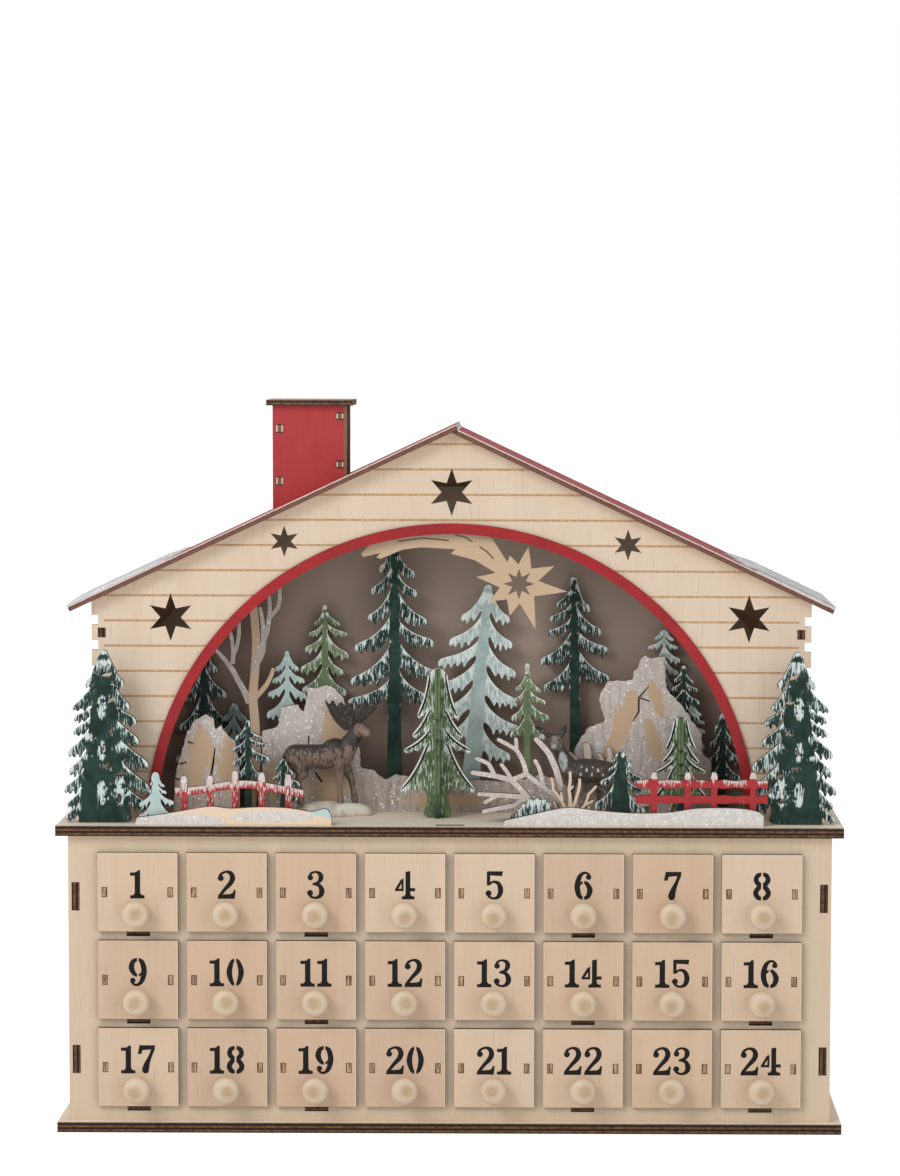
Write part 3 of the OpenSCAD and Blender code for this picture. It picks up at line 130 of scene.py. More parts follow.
def place(kind, inputs=None, output=0, **settings):
    """Put a shader node down, with its settings and its inputs, and give one of its outputs."""
    made = tree.nodes.new("ShaderNode" + kind)
    for name, value in settings.items():
        setattr(made, name, value)
    for name, value in (inputs or {}).items():
        feed(made.inputs[name], value)
    return Shade(made.outputs[output])


def split(kind, whole):
    """The parts of a vector or a colour, by their names."""
    return {out.name: Shade(out) for out in place("Separate" + kind, {0: whole}).socket.node.outputs}


def calc(operation, *values):
    """A sum of values, or of vectors where the first is one."""
    vector = isinstance(values[0], Shade) and values[0].socket.type == "VECTOR"
    output = "Vector" if vector and operation not in ("DOT_PRODUCT", "LENGTH") else "Value"
    return place("VectorMath" if vector else "Math", dict(enumerate(values)), output, operation=operation)


def clamped(shade):
    shade.socket.node.use_clamp = True
    return shade


def mix(share, first, second):
    return place("Mix", {0: share, 6: first, 7: second}, 2, data_type="RGBA")


def fade(value, low, high, out_low=0.0, out_high=1.0):
    return place("MapRange", {"Value": value, "From Min": low, "From Max": high, "To Min": out_low,
        "To Max": out_high}, interpolation_type="SMOOTHSTEP")


def noise(vector, scale=1.0, detail=2.0, roughness=0.5, distortion=0.0):
    return place("TexNoise", {"Vector": vector, "Scale": scale, "Detail": detail, "Roughness": roughness,
        "Distortion": distortion})


def normal_here():
    return place("TexCoord", output="Normal")


def start_effect(name, inputs, outputs):
    """A shader group with named sockets: (name, kind) or (name, kind, value)."""
    global tree
    kinds = {"value": "NodeSocketFloat", "colour": "NodeSocketColor", "vector": "NodeSocketVector"}
    tree = bpy.data.node_groups.new(name, "ShaderNodeTree")
    for label, kind, *value in inputs:
        socket = tree.interface.new_socket(label, in_out="INPUT", socket_type=kinds[kind])
        if value:
            socket.default_value = (*value[0], 1) if kind == "colour" else value[0]
    for label, kind in outputs:
        tree.interface.new_socket(label, in_out="OUTPUT", socket_type=kinds[kind])
    given = {out.name: Shade(out) for out in tree.nodes.new("NodeGroupInput").outputs}
    return given, tree.nodes.new("NodeGroupOutput").inputs


def use_effect(effect, **inputs):
    made = tree.nodes.new("ShaderNodeGroup")
    made.node_tree = effect
    for name, value in inputs.items():
        feed(made.inputs[name.capitalize()], value)
    return {out.name: Shade(out) for out in made.outputs}


def start_material(name, roughness=0.6):
    """A material's Principled shader and the place of each point in the calendar's frame."""
    global tree, material
    material = bpy.data.materials.new(name)
    material.use_nodes = True
    tree = material.node_tree
    shader = tree.nodes["Principled BSDF"]
    shader.inputs["Roughness"].default_value = roughness
    return shader, place("TexCoord", output="Object")


def finish(shader, colour, height=None, strength=0.3, distance=0.0002, edge=None, roughness=None,
        specular=None):
    """Give the material its colour, its burnt edges and its relief."""
    feed(shader.inputs["Base Color"], mix(edge["Edge"], colour, edge["Colour"]) if edge else colour)
    if roughness:
        feed(shader.inputs["Roughness"], roughness)
    if specular:
        shader.inputs["Specular IOR Level"].default_value = specular
    if height:
        feed(shader.inputs["Normal"], place("Bump", {"Height": height, "Strength": strength,
            "Distance": distance}))
    return material


def make_birch_grain():
    """Fine rotary-cut birch: a soft broad figure, fine fibres along the grain and short dark pores."""
    given, made = start_effect("birch grain", [("Spot", "vector"), ("Run", "vector", GRAIN_UPRIGHT),
        ("Light", "colour", BIRCH_LIGHT), ("Dark", "colour", BIRCH_DARK), ("Seed", "value", 0.0)],
        [("Colour", "colour"), ("Height", "value")])
    shift = place("CombineXYZ", {"X": given["Seed"], "Y": 0.0, "Z": given["Seed"]})
    along = given["Spot"] * given["Run"] + shift
    fibre = noise(along, 1.0, 4, 0.62)
    figure = noise(along, 0.035, 3, 0.55, 1.4)
    band = noise(along, 0.16, 2, 0.5, 0.4)
    pore = fade(noise(along, 1.7, 1, 0.4), 0.66, 0.74)
    depth = figure * 0.9 + (band * 0.5 - 0.42)
    depth = clamped(fibre * 0.42 + depth)
    colour = mix(depth, given["Light"], given["Dark"])
    feed(made["Colour"], mix(pore * 0.16, colour, CHAR_PLY))
    feed(made["Height"], fibre - pore)
    return tree


def make_charred_edge():
    """The laser's edge: a mask where the surface turns away from the board's faces, and burnt plies."""
    given, made = start_effect("charred edge", [("Spot", "vector"), ("Axis", "vector", (0, 1, 0)),
        ("Face", "value", 0.0), ("Thickness", "value", 0.003), ("Plies", "value", 3.0)],
        [("Edge", "value"), ("Colour", "colour")])
    normal = normal_here()
    facing = abs(calc("DOT_PRODUCT", normal, given["Axis"]))
    feed(made["Edge"], fade(facing, 0.93, 0.55))
    through = calc("DOT_PRODUCT", given["Spot"], given["Axis"]) - given["Face"]
    ply = through / given["Thickness"] * given["Plies"]
    band = fade(calc("PINGPONG", ply, 1.0), 0.35, 0.65)
    scorch = noise(given["Spot"], 420.0, 3, 0.6)
    share = band * fade(scorch, 0.3, 0.7, 0.25, 1.0)
    feed(made["Colour"], mix(share, CHAR_DARK, CHAR_PLY))
    return tree


birch_grain = make_birch_grain()
charred_edge = make_charred_edge()


def birch_board(name, axis, face, thickness, plies=3, run=GRAIN_UPRIGHT, light=BIRCH_LIGHT, dark=BIRCH_DARK,
        seed=0.0):
    """Bare birch plywood whose faces lie square to the axis, with charred edges."""
    shader, spot = start_material(name, 0.62)
    grain = use_effect(birch_grain, spot=spot, run=run, light=light, dark=dark, seed=seed)
    edge = use_effect(charred_edge, spot=spot, axis=axis, face=face, thickness=thickness, plies=plies)
    return finish(shader, grain["Colour"], grain["Height"], 0.25, 6e-05, edge,
        fade(edge["Edge"], 0.0, 1.0, 0.58, 0.85), 0.3)


def finish_board(node, material):
    """Give a board of the frame its finish."""
    mesh = boards[node].data
    mesh.materials.clear()
    mesh.materials.append(material)


def bare_boards(*rows):
    """Bare birch for boards of the frame, from the low side of each."""
    for node, name, axis, thickness, plies, run, tones, seed in rows:
        square = {"x": (1, 0, 0), "y": (0, 1, 0), "z": (0, 0, 1)}[axis]
        finish_board(node, birch_board(name, square, getattr(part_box(node)[0], axis), thickness, plies, run,
            *tones, seed))


PLATE_TONES = ((0.86, 0.78, 0.67), (0.76, 0.63, 0.48))
bare_boards(
    ("base_plate", "base_plate birch", "z", PLATE_THICKNESS, PLATE_PLIES, GRAIN_ALONG, PLATE_TONES, 3.0),
    ("deck_plate", "deck_plate birch", "z", PLATE_THICKNESS, PLATE_PLIES, GRAIN_ALONG, PLATE_TONES, 11.0))


# Chest boards: face, rear panel, side panels, shelves and dividers, all laser-cut birch plywood that is
# tabbed and glued. The face is bare, and a burnt line shows round every window and slot.
FACE_TONES = ((0.698, 0.572, 0.428), (0.594, 0.45, 0.315))
BIRCH_TONES = (BIRCH_LIGHT, BIRCH_DARK)
PANEL_THICKNESS = 4 * MM
SHELF_THICKNESS = 3.4 * MM
DIVIDER_THICKNESS = 3 * MM
bare_boards(
    ("face_frame", "face birch", "y", PANEL_THICKNESS, 3, GRAIN_UPRIGHT, FACE_TONES, 5.0),
    ("rear_panel", "rear birch", "y", PANEL_THICKNESS, 3, GRAIN_UPRIGHT, BIRCH_TONES, 17.0),
    ("chest_sides", "side birch", "x", PANEL_THICKNESS, 3, GRAIN_UPRIGHT, BIRCH_TONES, 23.0),
    ("shelves", "shelf birch", "z", SHELF_THICKNESS, 3, GRAIN_ALONG, BIRCH_TONES, 29.0),
    ("dividers", "divider birch", "x", DIVIDER_THICKNESS, 3, GRAIN_UPRIGHT, BIRCH_TONES, 31.0))


# Drawers: each front is a small square of birch with two slots that the tray's sides come through, a
# turned knob on a dowel, and a tray of thin ply. No two fronts are cut from the same stretch of wood.
FRONT_WIDTH = 43 * MM
FRONT_THICKNESS = 3 * MM
TRAY_THICKNESS = 2.7 * MM
TRAY_INSET = 2.6 * MM
TRAY_HEIGHT = 34 * MM
SLOT_WIDTH, SLOT_HEIGHT = 2.8 * MM, 5.2 * MM
TAB_WIDTH, TAB_HEIGHT = 2.3 * MM, 4.7 * MM
KNOB_DROP = 10.9 * MM
CUT_BEVEL = 0.14 * MM
FRONT_TONES = (
    ((0.68, 0.528, 0.39), (0.612, 0.448, 0.312)),
    ((0.655, 0.48, 0.343), (0.578, 0.4, 0.273)),
    ((0.697, 0.552, 0.413), (0.638, 0.48, 0.343)),
    ((0.646, 0.488, 0.359), (0.561, 0.392, 0.273)),
    ((0.672, 0.504, 0.359), (0.595, 0.424, 0.289)),
)
FRONT_TONE_ORDER = (0, 4, 1, 2, 2, 3, 1, 2, 3, 1, 3, 3, 0, 4, 4, 0, 0, 3, 1, 3, 2, 0, 4, 0)


def table(per, width, *numbers):
    """Rows of as many numbers as width says, each given as whole parts of per."""
    return [tuple(n / per for n in numbers[i:i + width]) for i in range(0, len(numbers), width)]


def make_piece(name, verts, faces, smooth=False):
    mesh = bpy.data.meshes.new(name)
    mesh.from_pydata(verts, [], faces)
    if smooth:
        mesh.shade_smooth()
    piece = bpy.data.objects.new(name, mesh)
    scene.collection.objects.link(piece)
    return piece


def is_inside(x, y, loop):
    inside = False
    for (ax, ay), (bx, by) in zip(loop, loop[1:] + loop[:1]):
        if (ay > y) != (by > y) and x < (bx - ax) * (y - ay) / (by - ay) + ax:
            inside = not inside
    return inside


def cut_board(name, outlines, front, thickness, holes=(), marks=(), bevel=CUT_BEVEL, crossing=0.5):
    """An upright board cut to outlines of (x, z) or (x, z, paint) points, less its holes. The points of
    marks lie inside it, and paint is kept on every point for the finish, crossing where outlines cross."""
    points, paints, lines, loops = [], [], [], []
    for loop in [*outlines, *holes]:
        first = len(points)
        points += [Vector(p[:2]) for p in loop]
        paints += [p[2] if len(p) > 2 else 0.0 for p in loop]
        lines += [(first + i, first + (i + 1) % len(loop)) for i in range(len(loop))]
        loops.append([tuple(p[:2]) for p in loop])
    for x, z, paint in marks:
        points.append(Vector((x, z)))
        paints.append(paint)
    flat, _, triangles, sources, _, _ = delaunay_2d_cdt(points, lines, [], 0, 1e-7)
    paint_at = [max((paints[i] for i in source), default=crossing) for source in sources]
    solid, voids = loops[:len(outlines)], loops[len(outlines):]
    kept = []
    for corners in triangles:
        x = sum(flat[c].x for c in corners) / len(corners)
        z = sum(flat[c].y for c in corners) / len(corners)
        if any(is_inside(x, z, s) for s in solid) and (not any(is_inside(x, z, v) for v in voids)):
            kept.append(tuple(corners))
    sides = {}
    for corners in kept:
        for a, b in zip(corners, corners[1:] + corners[:1]):
            if (b, a) in sides:
                del sides[b, a]
            else:
                sides[a, b] = True
    push = {}
    for a, b in sides:
        run = (flat[b] - flat[a]).normalized()
        for corner in (a, b):
            push.setdefault(corner, []).append(Vector((-run.y, run.x)))
    used = sorted({c for corners in kept for c in corners})
    inset = {}
    for corner in used:
        inset[corner] = flat[corner].copy()
        if corner in push:
            lean = sum(push[corner], Vector((0, 0)))
            if lean.length > 0.2:
                half = lean.normalized()
                reach = max(0.5, half.dot(push[corner][0]))
                inset[corner] += half * bevel / reach
    verts, values, rings = [], [], []
    for ring, depth in enumerate((front, front + bevel, front + thickness - bevel, front + thickness)):
        where = {}
        for corner in used:
            if ring in (0, 3) or corner in push:
                where[corner] = len(verts)
                spot = inset[corner] if ring in (0, 3) else flat[corner]
                verts.append((spot.x, depth, spot.y))
                values.append(paint_at[corner])
        rings.append(where)
    faces = [tuple(rings[0][c] for c in corners) for corners in kept]
    faces += [tuple(rings[3][c] for c in reversed(corners)) for corners in kept]
    for near, far in zip(rings, rings[1:]):
        faces += [(near[a], far[a], far[b], near[b]) for a, b in sides]
    piece = make_piece(name, verts, faces)
    piece.data.attributes.new("paint", "FLOAT", "POINT").data.foreach_set("value", values)
    return piece


def dress(piece, material, body="calendar", slot="birch", instead=None):
    """Give a piece its finish and fix it to the body that it belongs to."""
    piece.data.materials.append(material)
    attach(piece, body)
    if instead:
        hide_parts(instead)
    return piece


def rectangle(x0, z0, x1, z1):
    return [(x0, z0), (x1, z0), (x1, z1), (x0, z1)]


def join_boxes(name, boxes):
    """Square-cut strips of ply, each closed."""
    verts, faces = [], []
    for (x0, y0, z0), (x1, y1, z1) in boxes:
        faces += [tuple(i + len(verts) for i in f) for f in ((0, 1, 3, 2), (4, 6, 7, 5), (0, 4, 5, 1),
            (2, 3, 7, 6), (0, 2, 6, 4), (1, 5, 7, 3))]
        verts += [(x, y, z) for x in (x0, x1) for y in (y0, y1) for z in (z0, z1)]
    return make_piece(name, verts, faces)


KNOB_PROFILE = table(100, 2, 200, 300, 200, 10, 510, 10, 490, -70, 450, -190, 435, -300, 470, -390, 590, -490,
    680, -550, 712, -600, 720, -670, 715, -770, 695, -860, 650, -940, 580, -1000, 480, -1045, 340, -1080, 180,
    -1095, 0, -1100)
KNOB_STEPS = 48


def turned_knob(name, x, y, z, turn):
    """A knob spun from its half section (radius, distance behind the front's face)."""
    verts, faces = [], []
    rows = len(KNOB_PROFILE) - 1
    for radius, depth in KNOB_PROFILE[:-1]:
        for k in range(KNOB_STEPS):
            angle = 2 * math.pi * k / KNOB_STEPS + turn
            verts.append((x + radius * MM * math.cos(angle), y + depth * MM,
                z + radius * MM * math.sin(angle)))
    verts.append((x, y + KNOB_PROFILE[-1][1] * MM, z))
    for row in range(rows - 1):
        for k in range(KNOB_STEPS):
            a, b = row * KNOB_STEPS + k, row * KNOB_STEPS + (k + 1) % KNOB_STEPS
            faces.append((a, a + KNOB_STEPS, b + KNOB_STEPS, b))
    last = (rows - 1) * KNOB_STEPS
    faces += [(last + k, len(verts) - 1, last + (k + 1) % KNOB_STEPS) for k in range(KNOB_STEPS)]
    faces.append(tuple(range(KNOB_STEPS)))
    return make_piece(name, verts, faces, smooth=True)


def knob_wood(name, x, z, seed):
    """Beech turned across the grain: a pale rim, a yellowish heart off the middle and dark pith dots."""
    shader, spot = start_material(name, 0.5)
    heart_x, heart_z = x + 1.1 * MM * math.sin(seed * 5), z + 0.9 * MM * math.cos(seed * 3)
    flat = (spot - (heart_x, 0.0, heart_z)) * (1, 0, 1)
    wander = noise(spot + (seed, seed, seed), 260.0, 2, 0.5)
    length = calc("LENGTH", flat)
    radius = wander * 0.0024 + length
    rings = calc("SINE", radius * 8000.0)
    heart = fade(radius, 0.0066, 0.0026)
    share = clamped(rings * 0.05 + (heart * 0.75 + 0.08))
    colour = mix(share, (0.66, 0.53, 0.39), (0.46, 0.315, 0.175))
    pith = fade(noise(spot + (seed, 0, 0), 1100.0, 1), 0.68, 0.76)
    pith = pith * fade(length, 0.0034, 0.0008, 0.15, 0.75)
    return finish(shader, mix(pith, colour, CHAR_PLY), wander, 0.15, 0.0001)


def front_birch(name, middle, centre, plate, light, dark, seed):
    """Birch with scorched edges and a painted highlight: a pale line along the top and the right of its face."""
    birch_board(name, (0, 1, 0), plate, FRONT_THICKNESS, 3, GRAIN_UPRIGHT, light, dark, seed)
    shader = tree.nodes["Principled BSDF"]
    colour = Shade(shader.inputs["Base Color"].links[0].from_socket)
    spot = place("TexCoord", output="Object")
    part = split("XYZ", spot)
    half = FRONT_WIDTH / 2
    # Painted highlight: the face turns cream in a thin line along its top and right edges, as if lit there.
    up = fade(part["Z"], centre + half - 0.65 * MM, centre + half - 0.45 * MM, 0.0, 0.6)
    right = fade(part["X"], middle + half - 0.55 * MM, middle + half - 0.4 * MM, 0.0, 0.6)
    on_face = fade(part["Y"], plate + 0.12 * MM, plate + 0.06 * MM)
    rim = calc("MAXIMUM", up, right) * on_face
    return finish(shader, mix(rim, colour, (0.84, 0.73, 0.58)))


tray_birch = birch_board("tray birch", (1, 0, 0), 0.0, TRAY_THICKNESS, 3, GRAIN_ALONG, seed=41.0)
shader, spot = start_material("burnt tab end", 0.85)
tab_grain = noise(spot * (2200, 300, 160), 1.0, 2, 0.6)
tab_end = finish(shader, mix(fade(tab_grain, 0.38, 0.6), (0.15, 0.07, 0.035), (0.5, 0.34, 0.21)))
face_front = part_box("face_frame")[0].y
drawer_places = []
for number in range(1, 25):
    node = "drawer_%02d" % number
    (left, _, foot), (right, end, top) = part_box(node)
    middle, centre = (left + right) / 2, (foot + top) / 2
    plate = face_front - 0.3 * MM - FRONT_THICKNESS
    drawer_places.append((node, middle, centre, plate))
    half = FRONT_WIDTH / 2
    tab_x = half - TRAY_INSET - TRAY_THICKNESS / 2
    slots = [rectangle(middle + side * tab_x - SLOT_WIDTH / 2, centre - SLOT_HEIGHT / 2,
        middle + side * tab_x + SLOT_WIDTH / 2, centre + SLOT_HEIGHT / 2) for side in (-1, 1)]
    front = cut_board(node + "_front", [rectangle(middle - half, foot, middle + half, top)], plate,
        FRONT_THICKNESS, slots)
    light, dark = FRONT_TONES[FRONT_TONE_ORDER[number - 1]]
    dress(front, front_birch(node + " front birch", middle, centre, plate, light, dark, number * 7.3), node,
        instead=node)
    back = plate + FRONT_THICKNESS + 0.1 * MM
    tray_foot = foot + 0.8 * MM
    tray_top = tray_foot + TRAY_HEIGHT
    inner = half - TRAY_INSET - TRAY_THICKNESS - 0.1 * MM
    boxes, tabs = [], []
    for side in (-1, 1):
        x0, x1 = sorted((middle + side * (half - TRAY_INSET), middle + side * (inner + 0.1 * MM)))
        boxes.append(((x0, back, tray_foot), (x1, end, tray_top)))
        tab = middle + side * tab_x
        tabs.append(((tab - TAB_WIDTH / 2, plate + 0.15 * MM, centre - TAB_HEIGHT / 2),
            (tab + TAB_WIDTH / 2, back, centre + TAB_HEIGHT / 2)))
    boxes += [((middle - inner, end - TRAY_THICKNESS, tray_foot), (middle + inner, end, tray_top)),
        ((middle - inner, back, tray_foot), (middle + inner, end - TRAY_THICKNESS - 0.1 * MM,
        tray_foot + TRAY_THICKNESS))]
    dress(join_boxes(node + "_tray", boxes), tray_birch, node)
    dress(join_boxes(node + "_tabs", tabs), tab_end, node)
    knob_z = centre - KNOB_DROP
    knob = turned_knob(node + "_knob", middle, plate, knob_z, number * 0.7)
    dress(knob, knob_wood(node + " knob wood", middle, knob_z, number * 1.9), node)


# Numerals: one to twenty-four, stencilled in black on the fronts in a bold slab letter. The bridges of
# the stencil part the closed figures.
NUMERAL_HEIGHT = 15.3 * MM
NUMERAL_RISE = 4.3 * MM
NUMERAL_PROUD = 0.05 * MM
NUMERAL_GAP = 0.085
STROKE_STEPS = 7


def smooth_line(points, steps=STROKE_STEPS):
    """A curve through points of any size, after Catmull and Rom."""
    padded = [points[0], *points, points[-1]]
    line = []
    for p0, p1, p2, p3 in zip(padded, padded[1:], padded[2:], padded[3:]):
        for k in range(steps):
            t = k / steps
            line.append(tuple(0.5 * (2 * b + (c - a) * t + (2 * a - 5 * b + 4 * c - d) * t * t
                + (3 * b - a - 3 * c + d) * t ** 3) for a, b, c, d in zip(p0, p1, p2, p3)))
    return line + [tuple(points[-1])]


def stroke(points, curved=True):
    """The outline of a pen stroke through (x, z, width) points."""
    line = smooth_line(points) if curved else [tuple(p) for p in points]
    left, right = [], []
    for i, (x, z, width) in enumerate(line):
        before, after = line[max(i - 1, 0)], line[min(i + 1, len(line) - 1)]
        run = Vector((after[0] - before[0], after[1] - before[1])).normalized()
        left.append((x - run.y * width / 2, z + run.x * width / 2))
        right.append((x + run.y * width / 2, z - run.x * width / 2))
    return right + left[::-1]


def disc(x, z, radius, count=18):
    return [(x + radius * math.cos(2 * math.pi * k / count), z + radius * math.sin(2 * math.pi * k / count))
        for k in range(count)]


# Each figure is drawn in a field one unit high: its width, its strokes and the bridges cut out of it
FIGURES = {
    "1": (0.5, [rectangle(0.16, 0.02, 0.35, 0.93), table(100, 2, 16, 86, 35, 86, 35, 99, 27, 99),
        rectangle(0.0, 0.8, 0.2, 0.915), rectangle(0.0, 0.0, 0.5, 0.115),
        [(0.09, 0.1), (0.17, 0.2), (0.345, 0.2), (0.43, 0.1)]], []),
    "2": (0.63, [stroke(table(1000, 3, 100, 740, 140, 120, 860, 100, 290, 950, 85, 460, 900, 150, 525, 740,
        185, 460, 560, 170, 280, 360, 130, 120, 160, 110, 60, 80, 110)), disc(0.115, 0.725, 0.105),
        table(1000, 2, 0, 0, 600, 0, 635, 310, 565, 310, 530, 210, 440, 165, 120, 150, 20, 100)], []),
    "3": (0.61, [stroke(table(1000, 3, 100, 800, 120, 150, 910, 85, 310, 955, 80, 455, 880, 150, 485, 745,
        175, 410, 600, 120, 250, 530, 90)), stroke(table(1000, 3, 250, 530, 80, 430, 475, 130, 515, 290, 190,
        460, 120, 150, 300, 45, 85, 140, 90, 90, 90, 180, 120)), disc(0.115, 0.755, 0.098),
        disc(0.105, 0.215, 0.105), disc(0.24, 0.53, 0.052, 12)], []),
    "4": (0.7, [table(1000, 2, 365, 0, 535, 0, 535, 1000, 450, 985, 365, 965),
        table(1000, 2, 0, 290, 300, 290, 300, 375, 120, 375, 255, 600, 225, 730, 0, 360),
        rectangle(0.5, 0.285, 0.7, 0.4), rectangle(0.24, 0.0, 0.68, 0.11),
        table(1000, 2, 300, 100, 365, 170, 535, 170, 610, 100), table(1000, 2, 225, 375, 300, 375, 300, 760,
        225, 680)], [rectangle(0.185, 0.378, 0.222, 0.5)]),
    "5": (0.62, [table(1000, 2, 70, 1000, 610, 1000, 585, 830, 60, 860), rectangle(0.05, 0.5, 0.165, 0.99),
        table(1000, 2, 50, 500, 165, 500, 210, 560, 165, 620), stroke(table(1000, 3, 140, 550, 80, 280, 630,
        85, 450, 570, 140, 530, 350, 185, 470, 130, 150, 310, 45, 85, 150, 90, 90, 95, 180, 110)),
        disc(0.11, 0.225, 0.105)], []),
    "6": (0.65, [stroke(table(1000, 3, 540, 830, 100, 460, 935, 85, 320, 945, 100, 180, 800, 160, 105, 480,
        195, 170, 160, 170, 320, 50, 100)), stroke(table(1000, 3, 140, 500, 100, 260, 600, 85, 420, 590, 130,
        545, 360, 195, 480, 130, 160, 320, 50, 100)), disc(0.5, 0.8, 0.095)],
        [rectangle(0.295, -0.1, 0.345, 0.25), rectangle(0.295, 0.45, 0.345, 0.72)]),
    "7": (0.62, [table(100, 2, 6, 100, 62, 100, 58, 86, 10, 82), table(100, 2, 6, 100, 20, 95, 13, 69, 0, 69),
        stroke(table(1000, 3, 550, 900, 130, 440, 620, 120, 330, 360, 190, 275, 160, 240, 270, 80, 230)),
        disc(0.272, 0.11, 0.112)], []),
    "8": (0.63, [stroke(table(1000, 3, 315, 930, 120, 170, 880, 160, 105, 730, 170, 180, 590, 170, 300, 520,
        150, 440, 440, 170, 535, 270, 180, 460, 110, 170, 315, 60, 120)),
        stroke(table(1000, 3, 315, 930, 120, 460, 880, 160, 525, 730, 170, 450, 590, 170, 330, 520, 150, 190,
        440, 170, 95, 270, 180, 170, 110, 170, 315, 60, 120))], [rectangle(0.285, -0.1, 0.345, 1.1)]),
    "0": (0.62, [stroke(table(1000, 3, 310, 950, 90, 190, 850, 140, 105, 500, 195, 190, 150, 140, 310, 50,
        90)), stroke(table(1000, 3, 310, 950, 90, 430, 850, 140, 515, 500, 195, 430, 150, 140, 310, 50, 90))],
        [rectangle(0.275, -0.1, 0.345, 1.1)]),
}
six_width, six_strokes, six_bridges = FIGURES["6"]
FIGURES["9"] = (six_width, [[(six_width - p[0], 1 - p[1]) for p in loop] for loop in six_strokes],
    [[(six_width - p[0], 1 - p[1]) for p in loop] for loop in six_bridges])
shader, spot = start_material("stencil black", 0.7)
worn = fade(noise(spot, 1500.0, 3, 0.6), 0.45, 0.8)
stencil_black = finish(shader, mix(worn, (0.009, 0.008, 0.008), (0.022, 0.019, 0.017)), specular=0.2)
for number, (node, middle, centre, plate) in enumerate(drawer_places, 1):
    figures = [FIGURES[f] for f in str(number)]
    width = sum(f[0] for f in figures) + NUMERAL_GAP * (len(figures) - 1)
    start = -width / 2
    strokes, bridges = [], []
    for figure_width, figure_strokes, figure_bridges in figures:
        for loops, kept in ((figure_strokes, strokes), (figure_bridges, bridges)):
            kept += [[(middle + (start + p[0]) * NUMERAL_HEIGHT, centre + NUMERAL_RISE + (p[1] - 0.5)
                * NUMERAL_HEIGHT) for p in loop] for loop in loops]
        start += figure_width + NUMERAL_GAP
    numeral = cut_board(node + "_number", strokes, plate - NUMERAL_PROUD, NUMERAL_PROUD * 2, bridges,
        bevel=0.01 * MM)
    dress(numeral, stencil_black, node)


# House boards: the cabin front, its two sides and the rear wall, bare birch plywood. The laser scores
# the front with the lines between the logs, which it stops short of the ends.
SCORE_BROWN = (0.38, 0.21, 0.1)
SCORE_PITCH = 13.65 * MM
SCORE_WIDTH = 1.1 * MM
SCORE_DROP = 19.6 * MM
HOUSE_TONES = ((0.731, 0.6, 0.47), (0.646, 0.496, 0.365))
SCORE_END = 187.5 * MM
WALL_THICKNESS = 3 * MM
SIDE_WALL_THICKNESS = 4 * MM
deck_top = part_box("deck_plate")[1].z
facade_low, facade_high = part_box("facade")


def cabin_front():
    """Birch with scored log lines; the score's edge wavers and its char fades in and out."""
    shader, spot = start_material("cabin front birch", 0.62)
    grain = use_effect(birch_grain, spot=spot, run=GRAIN_UPRIGHT, light=HOUSE_TONES[0], dark=HOUSE_TONES[1],
        seed=53.0)
    edge = use_effect(charred_edge, spot=spot, axis=(0, 1, 0), face=facade_low.y, thickness=WALL_THICKNESS,
        plies=3.0)
    part = split("XYZ", spot)
    waver = noise(spot * (1300, 0, 500), 1.0, 2, 0.6)
    level = part["Z"] - (facade_high.z - SCORE_DROP)
    level = waver * 0.00055 + level
    away = calc("PINGPONG", level + 40 * SCORE_PITCH, SCORE_PITCH / 2)
    line = fade(abs(away), SCORE_WIDTH * 0.72, SCORE_WIDTH * 0.32)
    within = fade(abs(part["X"]), SCORE_END, SCORE_END - 0.4 * MM)
    facing = 1.0 - edge["Edge"]
    line = line * within * facing
    char = noise(spot * (700, 0, 120), 1.0, 3, 0.6)
    score = mix(fade(char, 0.35, 0.7), SCORE_BROWN, (0.56, 0.35, 0.18))
    colour = mix(line * 0.9, grain["Colour"], score)
    return finish(shader, colour, grain["Height"] * 0.2 - line, 0.5, 0.0002, edge, specular=0.3)


finish_board("facade", cabin_front())
bare_boards(
    ("house_sides", "house side birch", "x", SIDE_WALL_THICKNESS, 3, GRAIN_UPRIGHT, HOUSE_TONES, 59.0),
    ("house_rear_wall", "rear wall birch", "y", WALL_THICKNESS, 3, GRAIN_UPRIGHT, HOUSE_TONES, 61.0))


# Arch band, roof panels and chimney: plywood painted in a thin matt red that lets the grain through.
# The cut edges stay bare and burnt, and the chimney's cap is a square of plain ply.
RED = (0.45, 0.019, 0.021)
RED_DEEP = (0.32, 0.012, 0.014)
ROOF_THICKNESS = 3 * MM
SLOPE = math.radians(25.25)


def make_thin_paint():
    """Paint rubbed thin over wood: grain and brush marks change its depth, and fibres lift."""
    given, made = start_effect("thin paint", [("Spot", "vector"), ("Run", "vector", GRAIN_UPRIGHT),
        ("Paint", "colour", RED), ("Deep", "colour", RED_DEEP), ("Wear", "value", 0.3),
        ("Under", "colour", BIRCH_LIGHT)], [("Colour", "colour"), ("Height", "value")])
    along = given["Spot"] * given["Run"]
    fibre = noise(along, 1.0, 4, 0.6)
    cloud = noise(given["Spot"], 60.0, 3, 0.55)
    share = clamped(cloud * 0.9 + (fibre * 0.7 - 0.3))
    colour = mix(share, given["Paint"], given["Deep"])
    bare = fade(noise(along, 0.7, 3, 0.6), 0.66, 0.8)
    feed(made["Colour"], mix(bare * given["Wear"], colour, given["Under"]))
    feed(made["Height"], fibre)
    return tree


thin_paint = make_thin_paint()


def painted_board(name, axis, face, thickness, run, paint=RED, deep=RED_DEEP, wear=0.3):
    shader, spot = start_material(name, 0.55)
    coat = use_effect(thin_paint, spot=spot, run=run, paint=paint, deep=deep, wear=wear)
    edge = use_effect(charred_edge, spot=spot, axis=axis, face=face, thickness=thickness, plies=3.0)
    return finish(shader, coat["Colour"], coat["Height"], 0.3, 0.0001, edge, specular=0.3)


